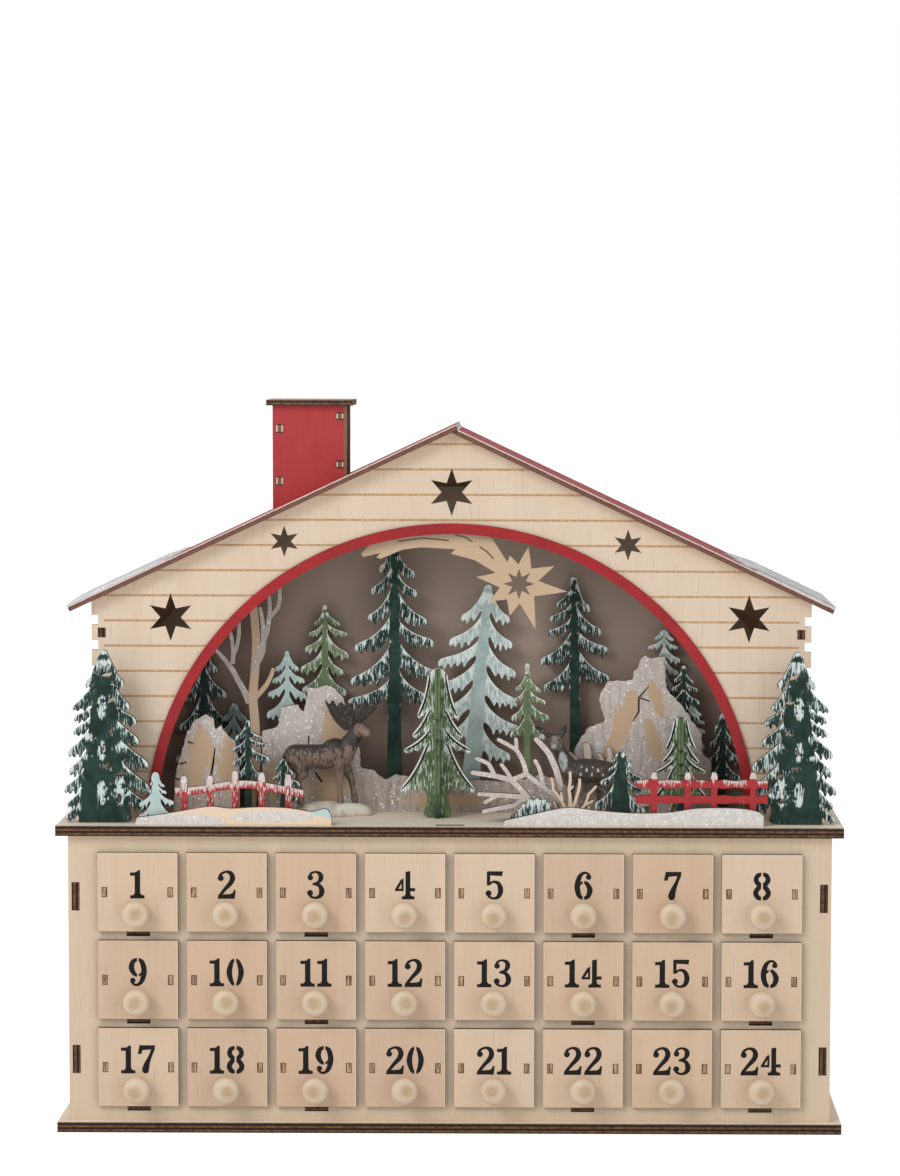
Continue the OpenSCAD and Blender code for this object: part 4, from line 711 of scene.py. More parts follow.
def roof_red(name, side):
    """Painted on top, bare underneath; the edges show a dark ply below a pale line of frost and painted
    highlight.
    """
    off = (side * math.sin(SLOPE), 0.0, math.cos(SLOPE))
    up_slope = (-side * math.cos(SLOPE), 0.0, math.sin(SLOPE))
    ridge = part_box("facade")[1].z * math.cos(SLOPE)
    shader, spot = start_material(name, 0.55)
    coat = use_effect(thin_paint, spot=spot, run=(1100, 34, 1100), wear=0.35)
    grain = use_effect(birch_grain, spot=spot, run=(1100, 34, 1100))
    edge = use_effect(charred_edge, spot=spot, axis=off, face=ridge, thickness=ROOF_THICKNESS, plies=3.0)
    normal = normal_here()
    above = fade(calc("DOT_PRODUCT", normal, off), -0.2, 0.2)
    colour = mix(above, grain["Colour"], coat["Colour"])
    burnt = mix(0.5, edge["Colour"], (0.2, 0.07, 0.045))
    # Frost and painted highlight: a pale line along the top of each cut edge, lighter where the arris catches
    # the light.
    through = (calc("DOT_PRODUCT", spot, off) - ridge) / ROOF_THICKNESS
    worn = noise(spot, 500.0, 2, 0.6)
    frost_and_highlight = fade(worn * 0.2 + through, 0.83, 0.93)
    burnt = mix(frost_and_highlight, burnt, (0.66, 0.5, 0.46))
    ridge_end = fade(calc("DOT_PRODUCT", normal, up_slope), 0.6, 0.9)
    burnt = mix(ridge_end, burnt, (0.6, 0.57, 0.55))
    return finish(shader, mix(edge["Edge"], colour, burnt), coat["Height"], 0.3, 0.0001)


finish_board("arch_trim", painted_board("arch red", (0, 1, 0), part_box("arch_trim")[0].y, 1.5 * MM,
    (700, 1100, 260), RED, (0.21, 0.012, 0.017), 0.1))
finish_board("roof_left", roof_red("roof red left", -1))
finish_board("roof_right", roof_red("roof red right", 1))
CHIMNEY_WALL = 3.7 * MM
CHIMNEY_TABS = ((0, 347.7, 2.35), (0, 376.0, 2.35), (1, 356.7, 1.9), (1, 382.8, 1.9))


def chimney_red():
    """Red outside, with the ends of the side walls' tabs left bare in their slots: pale plies at both
    sides of a brown one, and dark bars above and below, soot and the painted shade of the slot's gap."""
    shader, spot = start_material("chimney red", 0.55)
    coat = use_effect(thin_paint, spot=spot, run=(900, 1100, 60), paint=(0.46, 0.034, 0.032),
        deep=(0.33, 0.014, 0.016), wear=0.1)
    low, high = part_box("chimney_walls")
    normal = normal_here()
    part = split("XYZ", spot)
    turned = split("XYZ", normal)
    upright = fade(abs(turned["Z"]), 0.9, 0.5)
    faced = fade(abs(turned["Y"]), 0.5, 0.9)
    soot = noise(spot * (1500, 1500, 200), 1.0, 3, 0.6)
    char = mix(soot, (0.06, 0.03, 0.02), (0.3, 0.19, 0.11))
    colour = mix(upright, char, coat["Colour"])
    # Painted shade: the strip along the right side is bare burnt wood, coloured darker still as it lies in
    # shade.
    bare = fade(part["X"], high.x - 1.7 * MM, high.x - 1.5 * MM)
    colour = mix(bare, colour, (0.2, 0.1, 0.055))
    for right, tab_z, half_z in CHIMNEY_TABS:
        tab_x = high.x - CHIMNEY_WALL if right else low.x + CHIMNEY_WALL
        aside = abs(part["X"] - tab_x)
        above = abs(part["Z"] - tab_z * MM)
        end = mix(fade(aside, 0.9 * MM, 1.2 * MM), (0.17, 0.085, 0.045), (0.66, 0.5, 0.36))
        # Dark bars above and below each tab end: soot, and the painted shade of the slot's gap.
        end = mix(fade(above, (half_z - 0.7) * MM, (half_z - 0.45) * MM), end, (0.03, 0.016, 0.011))
        within = fade(aside, 1.92 * MM, 1.85 * MM) * fade(above, half_z * MM + 0.07 * MM, half_z * MM)
        within = within * faced
        colour = mix(within, colour, end)
    return finish(shader, colour, coat["Height"], 0.3, 0.0001)


finish_board("chimney_walls", chimney_red())
finish_board("chimney_cap", painted_board("chimney cap", (0, 0, 1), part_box("chimney_cap")[0].z, 3 * MM,
    GRAIN_ALONG, (0.6, 0.36, 0.27), (0.5, 0.26, 0.2)))


# Backdrop: an arched board behind the forest, sprayed a smooth taupe with a few specks of white, and painted
# darker towards its rim as shade. Behind it stands the rear wall.
TAUPE = (0.42, 0.325, 0.265)
TAUPE_PAINTED_SHADE = (0.25, 0.18, 0.14)
PAINTED_LIGHT_CENTRE = (0.03, 0, 0.32)
PAINTED_SHADE_REACH = 0.2
shader, spot = start_material("taupe spray", 0.75)
# Painted shade: the taupe darkens with distance from a lit middle near the top of the board.
painted_shade_distance = noise(spot, 18.0, 3, 0.5) * 0.03 + calc("LENGTH", (spot - PAINTED_LIGHT_CENTRE) * (0.8, 0, 1))
speck = fade(noise(spot, 700.0, 0, 0.5), 0.84, 0.87)
colour = mix(fade(painted_shade_distance, 0.0, PAINTED_SHADE_REACH), TAUPE, TAUPE_PAINTED_SHADE)
finish_board("backdrop", finish(shader, mix(speck * 0.6, colour, (0.6, 0.56, 0.53)),
    noise(spot, 2500.0, 2, 0.5), 0.1, 5e-05))


# Comet: an eight-rayed star with a feathered tail, cut from bare birch and glued behind the arch.
# Painted shade: the comet's birch is given darker tones than the other boards, as it hangs in shade.
bare_boards(("comet_star", "comet birch", "y", 3 * MM, 3, GRAIN_ALONG, ((0.55, 0.4, 0.27),
    (0.54, 0.385, 0.25)), 67.0))


# Firs: cut-out boards with drooping boughs, painted in green and then brushed dry with white downwards
# along every bough, so that a white rim lies along the top of each. Their stems are left smooth and dark.
DARK_GREEN = (0.017, 0.045, 0.035)
DARK_GREEN_DEEP = (0.008, 0.023, 0.017)
FROST = (0.6, 0.68, 0.66)
SCENERY_THICKNESS = 3 * MM
HOUSE_WIDTH = 388 * MM
TOOTH_WIDTH = 3.4 * MM
TOOTH_DROPS = (1.0, 0.7, 1.15, 0.85, 0.6)


def brushed_paint():
    """The paint that a board's outline carries from point to point."""
    return place("Attribute", output="Fac", attribute_name="paint")


def make_dry_brush():
    """White dragged down with a dry brush: fine upright streaks that thicken with the board's paint."""
    given, made = start_effect("dry brush", [("Spot", "vector"), ("Ground", "colour", DARK_GREEN),
        ("Deep", "colour", DARK_GREEN_DEEP), ("Frost", "colour", FROST), ("Amount", "value", 0.0)],
        [("Colour", "colour"), ("Cover", "value"), ("Height", "value")])
    paint = brushed_paint()
    streak = noise(given["Spot"] * (1500, 300, 230), 1.0, 2, 0.5, 0.3)
    fine = noise(given["Spot"] * (3300, 300, 700), 1.0, 2, 0.6)
    cloud = noise(given["Spot"], 150.0, 2, 0.5)
    cover = streak * 3.0 - 1.5
    cover = cover + (fine * 1.2 - 0.6)
    cover = paint * 0.9 + cover + given["Amount"]
    cover = fade(cover, 0.05, 0.75)
    ground = mix(fade(cloud, 0.35, 0.65), given["Ground"], given["Deep"])
    thin = mix(0.5, given["Frost"], given["Ground"])
    white = mix(fade(cover, 0.4, 1.0), thin, given["Frost"])
    feed(made["Colour"], mix(fade(cover, 0.0, 0.5), ground, white))
    feed(made["Cover"], cover)
    feed(made["Height"], cover * 0.6 + cloud * 0.3)
    return tree


dry_brush = make_dry_brush()


def fir_paint(name, ground, deep, frost, amount=0.0):
    shader, spot = start_material(name, 0.7)
    coat = use_effect(dry_brush, spot=spot, ground=ground, deep=deep, frost=frost, amount=amount)
    edge = use_effect(charred_edge, spot=spot, face=0.0)
    return finish(shader, coat["Colour"], coat["Height"], 0.5, 0.00015, edge, specular=0.25)


dark_fir_paint = fir_paint("dark fir", DARK_GREEN, DARK_GREEN_DEEP, FROST)
pale_fir_paint = fir_paint("pale fir", (0.41, 0.5, 0.475), (0.32, 0.41, 0.39), (0.68, 0.74, 0.715), 0.2)
green_fir_paint = fir_paint("green fir", (0.165, 0.225, 0.11), (0.115, 0.165, 0.078), (0.66, 0.71, 0.65))
blue_fir_paint = fir_paint("blue fir", (0.47, 0.59, 0.57), (0.41, 0.53, 0.52), (0.62, 0.71, 0.69), -0.1)
grey_fir_paint = fir_paint("grey fir", (0.13, 0.17, 0.165), (0.09, 0.13, 0.125), (0.28, 0.34, 0.34), -0.2)


def between(a, b, share):
    return tuple(p + (q - p) * share for p, q in zip(a, b))


def rounded(loop, times=1, most=1.0):
    """Cut a loop's corners off, so that twigs end round as the laser leaves them."""
    for _ in range(times):
        cut = []
        for p, q in zip(loop, loop[1:] + loop[:1]):
            share = min(0.25, most / max(math.dist(p[:2], q[:2]), 1e-9))
            cut += [between(p, q, share), between(p, q, 1 - share)]
        loop = cut
    return loop


def bough_side(tips, stem_at, side, top_half, full=0.0):
    """One side of a fir from the top down: every bough sweeps out to a round tip and comes back to the
    stem along short teeth. Gives the outline and the marks that end its white rim, as (x, z, paint)."""
    points, marks = [], []
    for i, (reach, height) in enumerate(tips):
        gap = tips[i - 1][1] - height if i else (tips[0][1] - tips[1][1]) * 1.1
        below = height - tips[i + 1][1] if i + 1 < len(tips) else gap
        high = height + gap * (1.04 if i else 1.0)
        start = (stem_at(high) if i else max(top_half, stem_at(high)), high)
        tip = min((0.27 + 0.07 * full) * min(gap, below), 2.9 * MM)
        knee = (start[0] + (reach - start[0]) * (0.28 + 0.2 * full), height + gap * (0.4 + 0.25 * full))
        crown = (reach - tip * 1.1, height + tip * (0.9 + 0.4 * full))
        for k in range(6):
            s = k / 5
            at = between(between(start, knee, s), between(knee, crown, s), s)
            points.append((side * at[0], at[1], 1.0 if k else 0.45))
            if k > 1:
                marks.append((side * (at[0] - 0.3 * MM), at[1] - 0.8 * MM, 0.1))
        points += [(side * (reach - tip * 0.3), height + tip * 0.5, 1.0),
            (side * reach, height - tip * 0.3, 0.8), (side * (reach - tip * 0.35), height - tip * 1.1, 0.4)]
        outer = (reach - tip * 0.8, height - tip * 0.7)
        root = (stem_at(height), height + below * (0.3 - 0.2 * full))
        armpit = (root[0] + (outer[0] - root[0]) * 0.22, height - below * (0.02 + 0.1 * full))
        marks += [(side * start[0] * share, high, -0.9) for share in (0.45, 0.8)]
        marks += [(side * root[0] * 0.8, root[1], -0.9)]
        teeth = max(2, min(6, round((outer[0] - armpit[0]) / TOOTH_WIDTH)))
        drop = min(0.22 * min(gap, below), 2.6 * MM)
        for k in range(teeth):
            fall = drop * TOOTH_DROPS[(k + i) % len(TOOTH_DROPS)]
            for share, down, value in ((0.1, -0.25, 0.1), (0.3, 0.8, 0.1), (0.55, 1.0, 0.0),
                    (0.85, -0.2, 0.1)):
                at = between(outer, armpit, (k + share) / teeth)
                points.append((side * at[0], at[1] - fall * down, value))
        points.append((side * root[0], root[1], 0.0))
    return points, marks


def fir_board(name, x, front, height, left, right, stem_top, stem_foot, lean=0.0, trunk=None, extra_marks=(),
        holes=(), whole=False):
    """A fir cut from one board. left and right list its boughs' tips from the top down as (reach,
    height) in metres from the stem and the foot."""

    def stem_at(z):
        return stem_top + (stem_foot - stem_top) * (1 - max(z, 0.0) / height)

    trunk = trunk if trunk is not None else stem_at(0)
    top_half = min(0.8 * MM + trunk * 0.3, 2.25 * MM)
    top = [(top_half * 0.65, height - 0.25 * top_half, 1.0), (top_half, height - top_half, 1.0)]
    right_side, marks = bough_side(right, stem_at, 1, top_half, 0.6 * whole)
    left_side, left_marks = bough_side(left, stem_at, -1, top_half, 0.6 * whole)
    loop = [(0.0, height, 1.0)] + top + right_side
    loop += [(trunk * 0.9, min(right[-1][1], height * 0.5) * 0.5, -0.4), (trunk, 0.0, -0.4)]
    loop += [(-trunk, 0.0, -0.4), (-trunk * 0.9, min(left[-1][1], height * 0.5) * 0.5, -0.4)]
    loop += left_side[::-1] + [(-p[0], p[1], p[2]) for p in top[::-1]]
    body = rounded(loop, 2)

    def stand(points):
        return [(x + p[0] + lean * p[1] / height, deck_top + max(p[1], 0.0), *p[2:]) for p in points]

    marks += left_marks + [(0.0, height * k / 20, -0.9) for k in range(1, 18)]
    if not whole:
        low = min(left[-1][1], right[-1][1])
        marks += [(side * (stem_at(height * k / 30) * 0.92 + off * MM), height * k / 30, value)
            for k in range(1, 25) for side in (-1, 1) for off, value in ((0, -0.9), (0.4, 0.1)) if value < 0
            or height * k / 30 > low]
    flat = [p[:2] for p in body]
    marks = [m for m in marks + list(extra_marks) if is_inside(m[0], m[1], flat)]
    return cut_board(name, [stand(body)[::-1]], front, SCENERY_THICKNESS, [stand(h) for h in holes],
        stand(marks))


def tips_mm(pairs):
    """The boughs of a fir from millimetres."""
    return [(reach * MM, height * MM) for reach, height in pairs]


def front_of(node):
    """The front plane of a board of the frame, which its finished board takes."""
    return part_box(node)[0].y


for name, node, share, height, left, right, top, foot, lean, paint, slot in (
    ("tall_dark_fir", "tall_fir", -0.166, 150, table(10, 2, 86, 1340, 130, 1220, 148, 1070, 220, 905, 242,
        720, 260, 600), table(10, 2, 115, 1310, 126, 1205, 180, 1050, 218, 930, 230, 760, 210, 620), 1.6, 4.4,
        0, dark_fir_paint, "dark_fir"),
    ("frosted_fir", "frost_fir", 0.042, 125, [(13.5, 107), (19, 93.5), (24, 82), (23.5, 68), (25, 52.5),
        (22, 38)], [(13.8, 106), (16.5, 92), (19.8, 76), (22.5, 60), (25, 45), (21, 30)], 1.8, 5.6, 11,
        pale_fir_paint, "pale_fir"),
    ("pole_fir", "pole_fir", 0.35, 129, [(9.8, 114), (13.6, 106), (15, 98), (19, 82.5), (17.6, 68)],
        [(9.2, 112), (15, 99), (19, 88.5), (19.4, 73)], 1.4, 3.8, -2, dark_fir_paint, "dark_fir"),
):
    fir = fir_board(name, share * HOUSE_WIDTH / 2, front_of(node), height * MM, tips_mm(left), tips_mm(right),
        top * MM, foot * MM, lean=lean * MM)
    dress(fir, paint, slot=slot, instead=node)


# Small firs of the background and the foreground: the same cut at smaller sizes, each painted in one of
# the greens. They stand in slots or on dabs of glue between the rocks.
LOW_LEFT = table(100, 2, 45, 84, 68, 68, 85, 50, 100, 30)
LOW_RIGHT = table(100, 2, 50, 85, 80, 70, 95, 52, 100, 32)
OWN_TIPS = {
    "green_fir": (table(10, 2, 60, 103, 92, 163, 114, 245, 138, 355, 130, 470),
        table(10, 2, 82, 103, 126, 163, 132, 275, 104, 370, 120, 480)),
    "pale_fir": ([(6.8, 10), (8.4, 16.6), (10.8, 24), (11.5, 35)], [(6.6, 9.8), (9.8, 16.5), (11, 25),
        (11.5, 36)]),
    "leaf_fir": ([(6.6, 14), (7.6, 20.5), (9, 30), (9.6, 39)], [(7.6, 15), (10.2, 21.5), (12.2, 30),
        (10, 40)]),
    "rock_fir": ([(5.6, 4.8), (9.2, 9.8), (6, 17), (6.5, 24), (8, 33)], [(5.4, 5.5), (7.4, 10), (9, 17),
        (8, 24), (8, 33)]),
    "rock_fir_low": ([(5.6, 8.2), (6.8, 13), (6.4, 19.5), (8, 28)], [(5.4, 9), (7.8, 13.5), (9, 20.5),
        (9, 29)]),
    "glitter_fir": ([(4, 7), (6, 12), (6.5, 20)], [(5, 6.5), (6.9, 11), (7.2, 16), (7, 24)]),
    "twin_fir_high": ([(7, 9.5), (8.4, 16), (8.6, 23.5), (8, 31)], [(8.2, 9.5), (10.6, 13.5), (11.8, 21),
        (8.5, 31)]),
    "twin_fir_low": ([(4.4, 5.5), (5.6, 10.5), (7, 17)], [(5.6, 7.5), (9.2, 13.5), (8, 21)]),
    "front_fir": ([(5.2, 6), (6.8, 10.4), (11, 17.2), (14.3, 29.5)], [(6, 8), (12.2, 15.6), (12, 21.5),
        (14, 33)]),
    "bank_fir": ([(3.2, 6.5), (3.8, 10.5), (9, 17.3), (9.2, 24)], [(4.9, 7.4), (6, 11), (9.9, 16.5),
        (10, 24)]),
    "grey_fir": ([(6.4, 8.5), (8, 16), (8, 24)], [(7.6, 8.7), (7, 17), (8, 26)]),
}
ROW_1, ROW_2, ROW_3, ROW_4, FENCE_FRONT, END_FIR_FRONT = (front_of(node) for node in ("middle_rocks",
    "tall_fir", "frost_fir", "pole_fir", "fences", "end_fir_left"))
facade_back = facade_low.y + WALL_THICKNESS
SMALL_REPLACES = {"edge_fir": "background_firs", "front_fir": "foreground_firs"}
for name, share, front, height, reach, trunk, paint, slot in (
    ("edge_fir", -0.71, ROW_4, 91, 16, 2.0, dark_fir_paint, "green_fir"),
    ("far_fir", 0.765, ROW_4, 54, 11, 2.0, dark_fir_paint, "green_fir"),
    ("rock_fir_low", 0.652, ROW_2, 81, 8, 2.0, dark_fir_paint, "green_fir"),
    ("green_fir", -0.365, ROW_4, 113, 14.3, 2.0, green_fir_paint, "green_fir"),
    ("leaf_fir", 0.21, ROW_2, 82, 14, 2.0, green_fir_paint, "green_fir"),
    ("rock_fir", 0.598, ROW_4, 100, 9.4, 2.0, pale_fir_paint, "green_fir"),
    ("pale_fir", -0.471, ROW_3, 88, 11.5, 2.0, blue_fir_paint, "green_fir"),
    ("grey_fir", -0.622, ROW_3, 59, 9, 2.0, grey_fir_paint, "green_fir"),
    ("glitter_fir", 0.678, ROW_3, 60, 6.5, 2.0, pale_fir_paint, "green_fir"),
    ("twin_fir_high", -0.568, facade_back + 0.5 * MM, 53, 9.3, 2.0, dark_fir_paint, "dark_fir"),
    ("twin_fir_low", -0.47, facade_back + 0.5 * MM, 32, 7.5, 2.0, dark_fir_paint, "dark_fir"),
    ("front_fir", 0.47, END_FIR_FRONT, 40, 13.2, 6.6, dark_fir_paint, "dark_fir"),
    ("bank_fir", -0.811, FENCE_FRONT, 28, 8.8, 4.4, blue_fir_paint, "dark_fir"),
):
    if name in OWN_TIPS:
        left, right = ([(r, height - down) for r, down in side] for side in OWN_TIPS[name])
    else:
        left, right = ([(r * reach, h * height) for r, h in side] for side in (LOW_LEFT, LOW_RIGHT))
    fir = fir_board(name, share * HOUSE_WIDTH / 2, front, height * MM, tips_mm(left), tips_mm(right),
        reach * 0.09 * MM, reach * (0.17 if trunk < 3 else 0.48) * MM, trunk=trunk * MM)
    dress(fir, paint, slot=slot, instead=SMALL_REPLACES.get(name))

BUSH_SPIKES = table(100, 2, -50, 0, -50, 30, -43, 42, -40, 36, -34, 62, -28, 56, -20, 80, -13, 74, -6, 98, 3,
    86, 12, 100, 20, 88, 30, 97, 36, 80, 46, 84, 44, 55, 50, 50, 50, 0)
bush_x = 0.225 * HOUSE_WIDTH / 2
bush = cut_board("spiky_bush", [rounded([(bush_x + x * 23 * MM, deck_top + z * 15 * MM, 1.1 * z - 0.2) for x,
    z in BUSH_SPIKES][::-1], 1)], FENCE_FRONT, SCENERY_THICKNESS)
dress(bush, dark_fir_paint, slot="dark_fir")


# End firs: one at each end of the deck, dense to the ground, cut through with small flame-shaped slots
# and dabbed with tall white ovals. They are glued to the deck in front of the cabin's corners.
END_LEFT = [(10, 75), (17, 62), (16, 56), (16.5, 49), (19.5, 38), (19, 28), (21.5, 18), (20, 10), (21, 3)]
END_RIGHT = [(11, 75.5), (14, 63), (17.5, 55), (18.8, 44.5), (24, 31.5), (24.6, 19), (24, 9)]
END_SLOTS = table(10, 4, 15, 793, 24, -1, 36, 655, 22, 3, 36, 486, 19, 9, -10, 389, 16, 12, 5, 302, 22, 3, 87,
    261, 24, -2, 77, 128, 17, 11)
END_DABS = table(10, 4, -10, 619, 31, 77, -12, 389, 26, 67, -12, 159, 31, 82, 83, 179, 36, 102)


def flame_slot(x, z, half, turn):
    shape = table(100, 2, -120, -30, -50, 25, 10, 55, 70, 50, 120, 100, 105, 10, 50, -30, -10, -25, -60, -50)
    c, s = math.cos(turn), math.sin(turn)
    return rounded([(x + half * (c * p - s * q), z + half * (s * p + c * q)) for p, q in shape][::-1], 1)


for node, side in (("end_fir_left", -1), ("end_fir_right", 1)):
    x = side * (210 - 24.7) * MM
    left, right = (END_LEFT, END_RIGHT) if side < 0 else (END_RIGHT, END_LEFT)
    holes = [flame_slot(-side * px * MM, pz * MM, half * MM, turn if side < 0 else math.pi - turn) for px, pz,
        half, turn in END_SLOTS]
    dabs = []
    for px, pz, half_w, half_h in END_DABS:
        for share, value in ((1.0, -0.5), (0.75, 0.62), (0.35, 0.72)):
            dabs += [(-side * px * MM + half_w * share * MM * math.cos(k * math.pi / 6),
                pz * MM + half_h * share * MM * math.sin(k * math.pi / 6), value) for k in range(12)]
        dabs.append((-side * px * MM, pz * MM, 0.75))
    fir = fir_board(node + "_board", x, END_FIR_FRONT, 93 * MM, tips_mm(left), tips_mm(right), 2.4 * MM,
        14.5 * MM, trunk=15 * MM, extra_marks=dabs, holes=holes, whole=True)
    dress(fir, dark_fir_paint, slot="dark_fir", instead=node)


# Interlocked firs: two boards halved into each other, one facing the front, in leaf green brushed with
# white. A black line is drawn just inside the upper edge of every bough.
CROSSED_TIPS = table(1000, 2, 530, 690, 650, 560, 865, 460, 960, 200)
CROSSED_TOP = [(0, 0), (0.7, -0.3), (1, -1)]
INK_INSET = 1.05 * MM
INK_WIDTH = 0.95 * MM


def crossed_side(reach, height, side):
    """The outline of one side and the lines of ink along its boughs."""

    def core_at(z):
        return 0.24 * reach * (1 + 0.6 * (1 - max(z, 0) / height))

    points, lines, marks = [], [], []
    for i, (r, h) in enumerate(CROSSED_TIPS):
        tip = (r * reach, h * height)
        gap = (CROSSED_TIPS[i - 1][1] - h) * height if i else (1 - h) * height
        start = (core_at(tip[1] + gap), tip[1] + gap * 1.08) if i else (0.24 * reach, height * 0.97)
        knee = (start[0] * 0.6 + tip[0] * 0.4, tip[1] + gap * 0.36) if i else (start[0] * 1.3,
            tip[1] + gap * 0.32)
        sweep = []
        for k in range(7):
            s = k / 6
            sweep.append(between(between(start, knee, s), between(knee, tip, s), s))
        points += [(side * p[0], p[1], 1.3) for p in sweep[:-1]]
        inner = [(side * (p[0] - 1.4 * INK_INSET), p[1] - 1.2 * INK_INSET, 0.15) for p in sweep[1:-1]]
        line = [(side * (p[0] - INK_INSET), p[1] - INK_INSET * 0.9) for p in sweep]
        lines.append(([(side * (start[0] - 2.6 * MM), start[1] + 1.2 * MM)] if i else []) + line)
        points += [(side * tip[0], tip[1] - 0.012 * height, 1.0), (side * (tip[0] - 0.07 * reach),
            tip[1] - 0.034 * height, 0.5)]
        root = (core_at(tip[1]), tip[1] + 0.012 * height)
        for share, down in ((0.25, 0.03), (0.45, 0.012), (0.62, 0.03), (0.85, 0.0)):
            at = between((tip[0] - 0.07 * reach, tip[1]), root, share)
            points.append((side * at[0], at[1] - down * height, 0.2))
        marks += inner
    foot = table(100, 3, 28, 17, -20, 25, 10, -40, 42, 0, -60)
    return points + [(side * r * reach, h * height, value) for r, h, value in foot], lines, marks


def crossed_fir(name, x, middle_y, height, spread, instead):
    reach, core = spread * height, 0.062 * height
    right_side, right_lines, right_marks = crossed_side(reach, height, 1)
    left_side, left_lines, left_marks = crossed_side(reach, height, -1)
    top = [(p * core, height + q * core, 1.2) for p, q in CROSSED_TOP]
    body = rounded(top + right_side + left_side[::-1] + [(-p[0], *p[1:]) for p in top[:0:-1]], 2)
    marks = [(s * 0.0007, height * k / 20, -1.0) for k in range(1, 18) for s in (-1, 1)]
    marks += [(s * 0.0021, height * k / 20, 0.1) for k in range(1, 18) for s in (-1, 1)]
    flat = [p[:2] for p in body]
    marks += [m for m in right_marks + left_marks if is_inside(m[0], m[1], flat)]
    front = middle_y - SCENERY_THICKNESS / 2

    def stand(points):
        return [(x + p[0], deck_top + max(p[1], 0), *p[2:]) for p in points]

    front_board = cut_board(name, [stand(body)[::-1]], front, SCENERY_THICKNESS, [], stand(marks))
    side_board = cut_board(name + "_side", [[(p[0] * 0.9, deck_top + max(p[1], 0), p[2])
        for p in body][::-1]], -SCENERY_THICKNESS / 2, SCENERY_THICKNESS)
    side_board.data.transform(Matrix.Translation((x, middle_y, 0)) @ Matrix.Rotation(math.pi / 2, 4, "Z"))
    dress(front_board, black_edge_green, slot="green_fir", instead=instead)
    dress(side_board, seamed_green(name + " side", x), slot="green_fir")
    ink = cut_board(name + "_ink", [stroke([(*p, INK_WIDTH * w) for p, w in zip(stand(line),
        (0.5, 0.9, 1, 1, 1, 1, 0.9, 0.6))]) for line in right_lines + left_lines], front - NUMERAL_PROUD,
        NUMERAL_PROUD * 2, bevel=0.01 * MM)
    dress(ink, stencil_black, slot="dark_fir")


black_edge_green = fir_paint("crossed fir", (0.12, 0.175, 0.08), (0.08, 0.125, 0.055), (0.7, 0.74, 0.69))


def seamed_green(name, x):
    """Leaf green with the dark seam of the joint down the middle and a dark foot."""
    shader, spot = start_material(name, 0.7)
    part = split("XYZ", spot)
    mottle = noise(spot, 300.0, 3, 0.6)
    leaf = mix(fade(mottle, 0.35, 0.65), (0.12, 0.175, 0.08), (0.075, 0.12, 0.052))
    aside = abs(part["X"] - x)
    leaf = mix(fade(aside, 0.35 * MM, 0.15 * MM), leaf, (0.02, 0.03, 0.018))
    foot = fade(part["Z"], deck_top + 12 * MM, deck_top + 6 * MM)
    return finish(shader, mix(foot, leaf, (0.015, 0.035, 0.022)), mottle)


crossed_fir("crossed_fir", -0.039 * HOUSE_WIDTH / 2, facade_back + 3 * MM, 82 * MM, 0.263, "crossed_firs")
crossed_fir("small_crossed_fir", 0.64 * HOUSE_WIDTH / 2, facade_back + 7 * MM, 56 * MM, 0.29, None)


# Rocks: boards with broken outlines, bare birch in upright patches and thickly coated with pinkish-white
# glitter elsewhere. Short jagged cracks are burnt right through them.
ROCK_TAN = (0.58, 0.41, 0.27)
ROCK_TAN_DARK = (0.48, 0.33, 0.21)
GLITTER_WHITE = (0.6, 0.52, 0.47)


def make_glitter():
    """Glitter in glue over a milky ground: fine grains, a few painted bright as glints and some painted darker
    as shade.
    """
    given, made = start_effect("glitter", [("Spot", "vector"), ("White", "colour", GLITTER_WHITE),
        ("Grain", "value", 2300.0)], [("Colour", "colour"), ("Height", "value"), ("Roughness", "value")])
    grains = place("TexVoronoi", {"Vector": given["Spot"], "Scale": given["Grain"]}, "Color")
    tint = split("Color", grains)
    coarse = place("TexVoronoi", {"Vector": given["Spot"], "Scale": 1250.0}, "Color")
    coarse_tint = split("Color", coarse)
    # Painted glints: a few grains are coloured near white, and others darker as painted shade, as if tilted to
    # or from the light.
    painted_glint = calc("MAXIMUM", fade(tint["Red"], 0.9, 0.95, 0.0, 0.4), fade(coarse_tint["Green"], 0.96, 0.975,
        0.0, 0.75))
    painted_grain_shade = fade(tint["Green"], 0.0, 0.5, 0.35, 0.0)
    shade = noise(given["Spot"], 240.0, 3, 0.6)
    body = mix(fade(shade, 0.3, 0.7, 0.0, 0.3), given["White"], (0.36, 0.3, 0.26))
    body = mix(painted_grain_shade, body, (0.34, 0.285, 0.25))
    feed(made["Colour"], mix(painted_glint, body, (0.97, 0.97, 0.97)))
    feed(made["Height"], tint["Blue"])
    feed(made["Roughness"], fade(painted_glint, 0.0, 1.0, 0.62, 0.3))
    return tree


glitter = make_glitter()


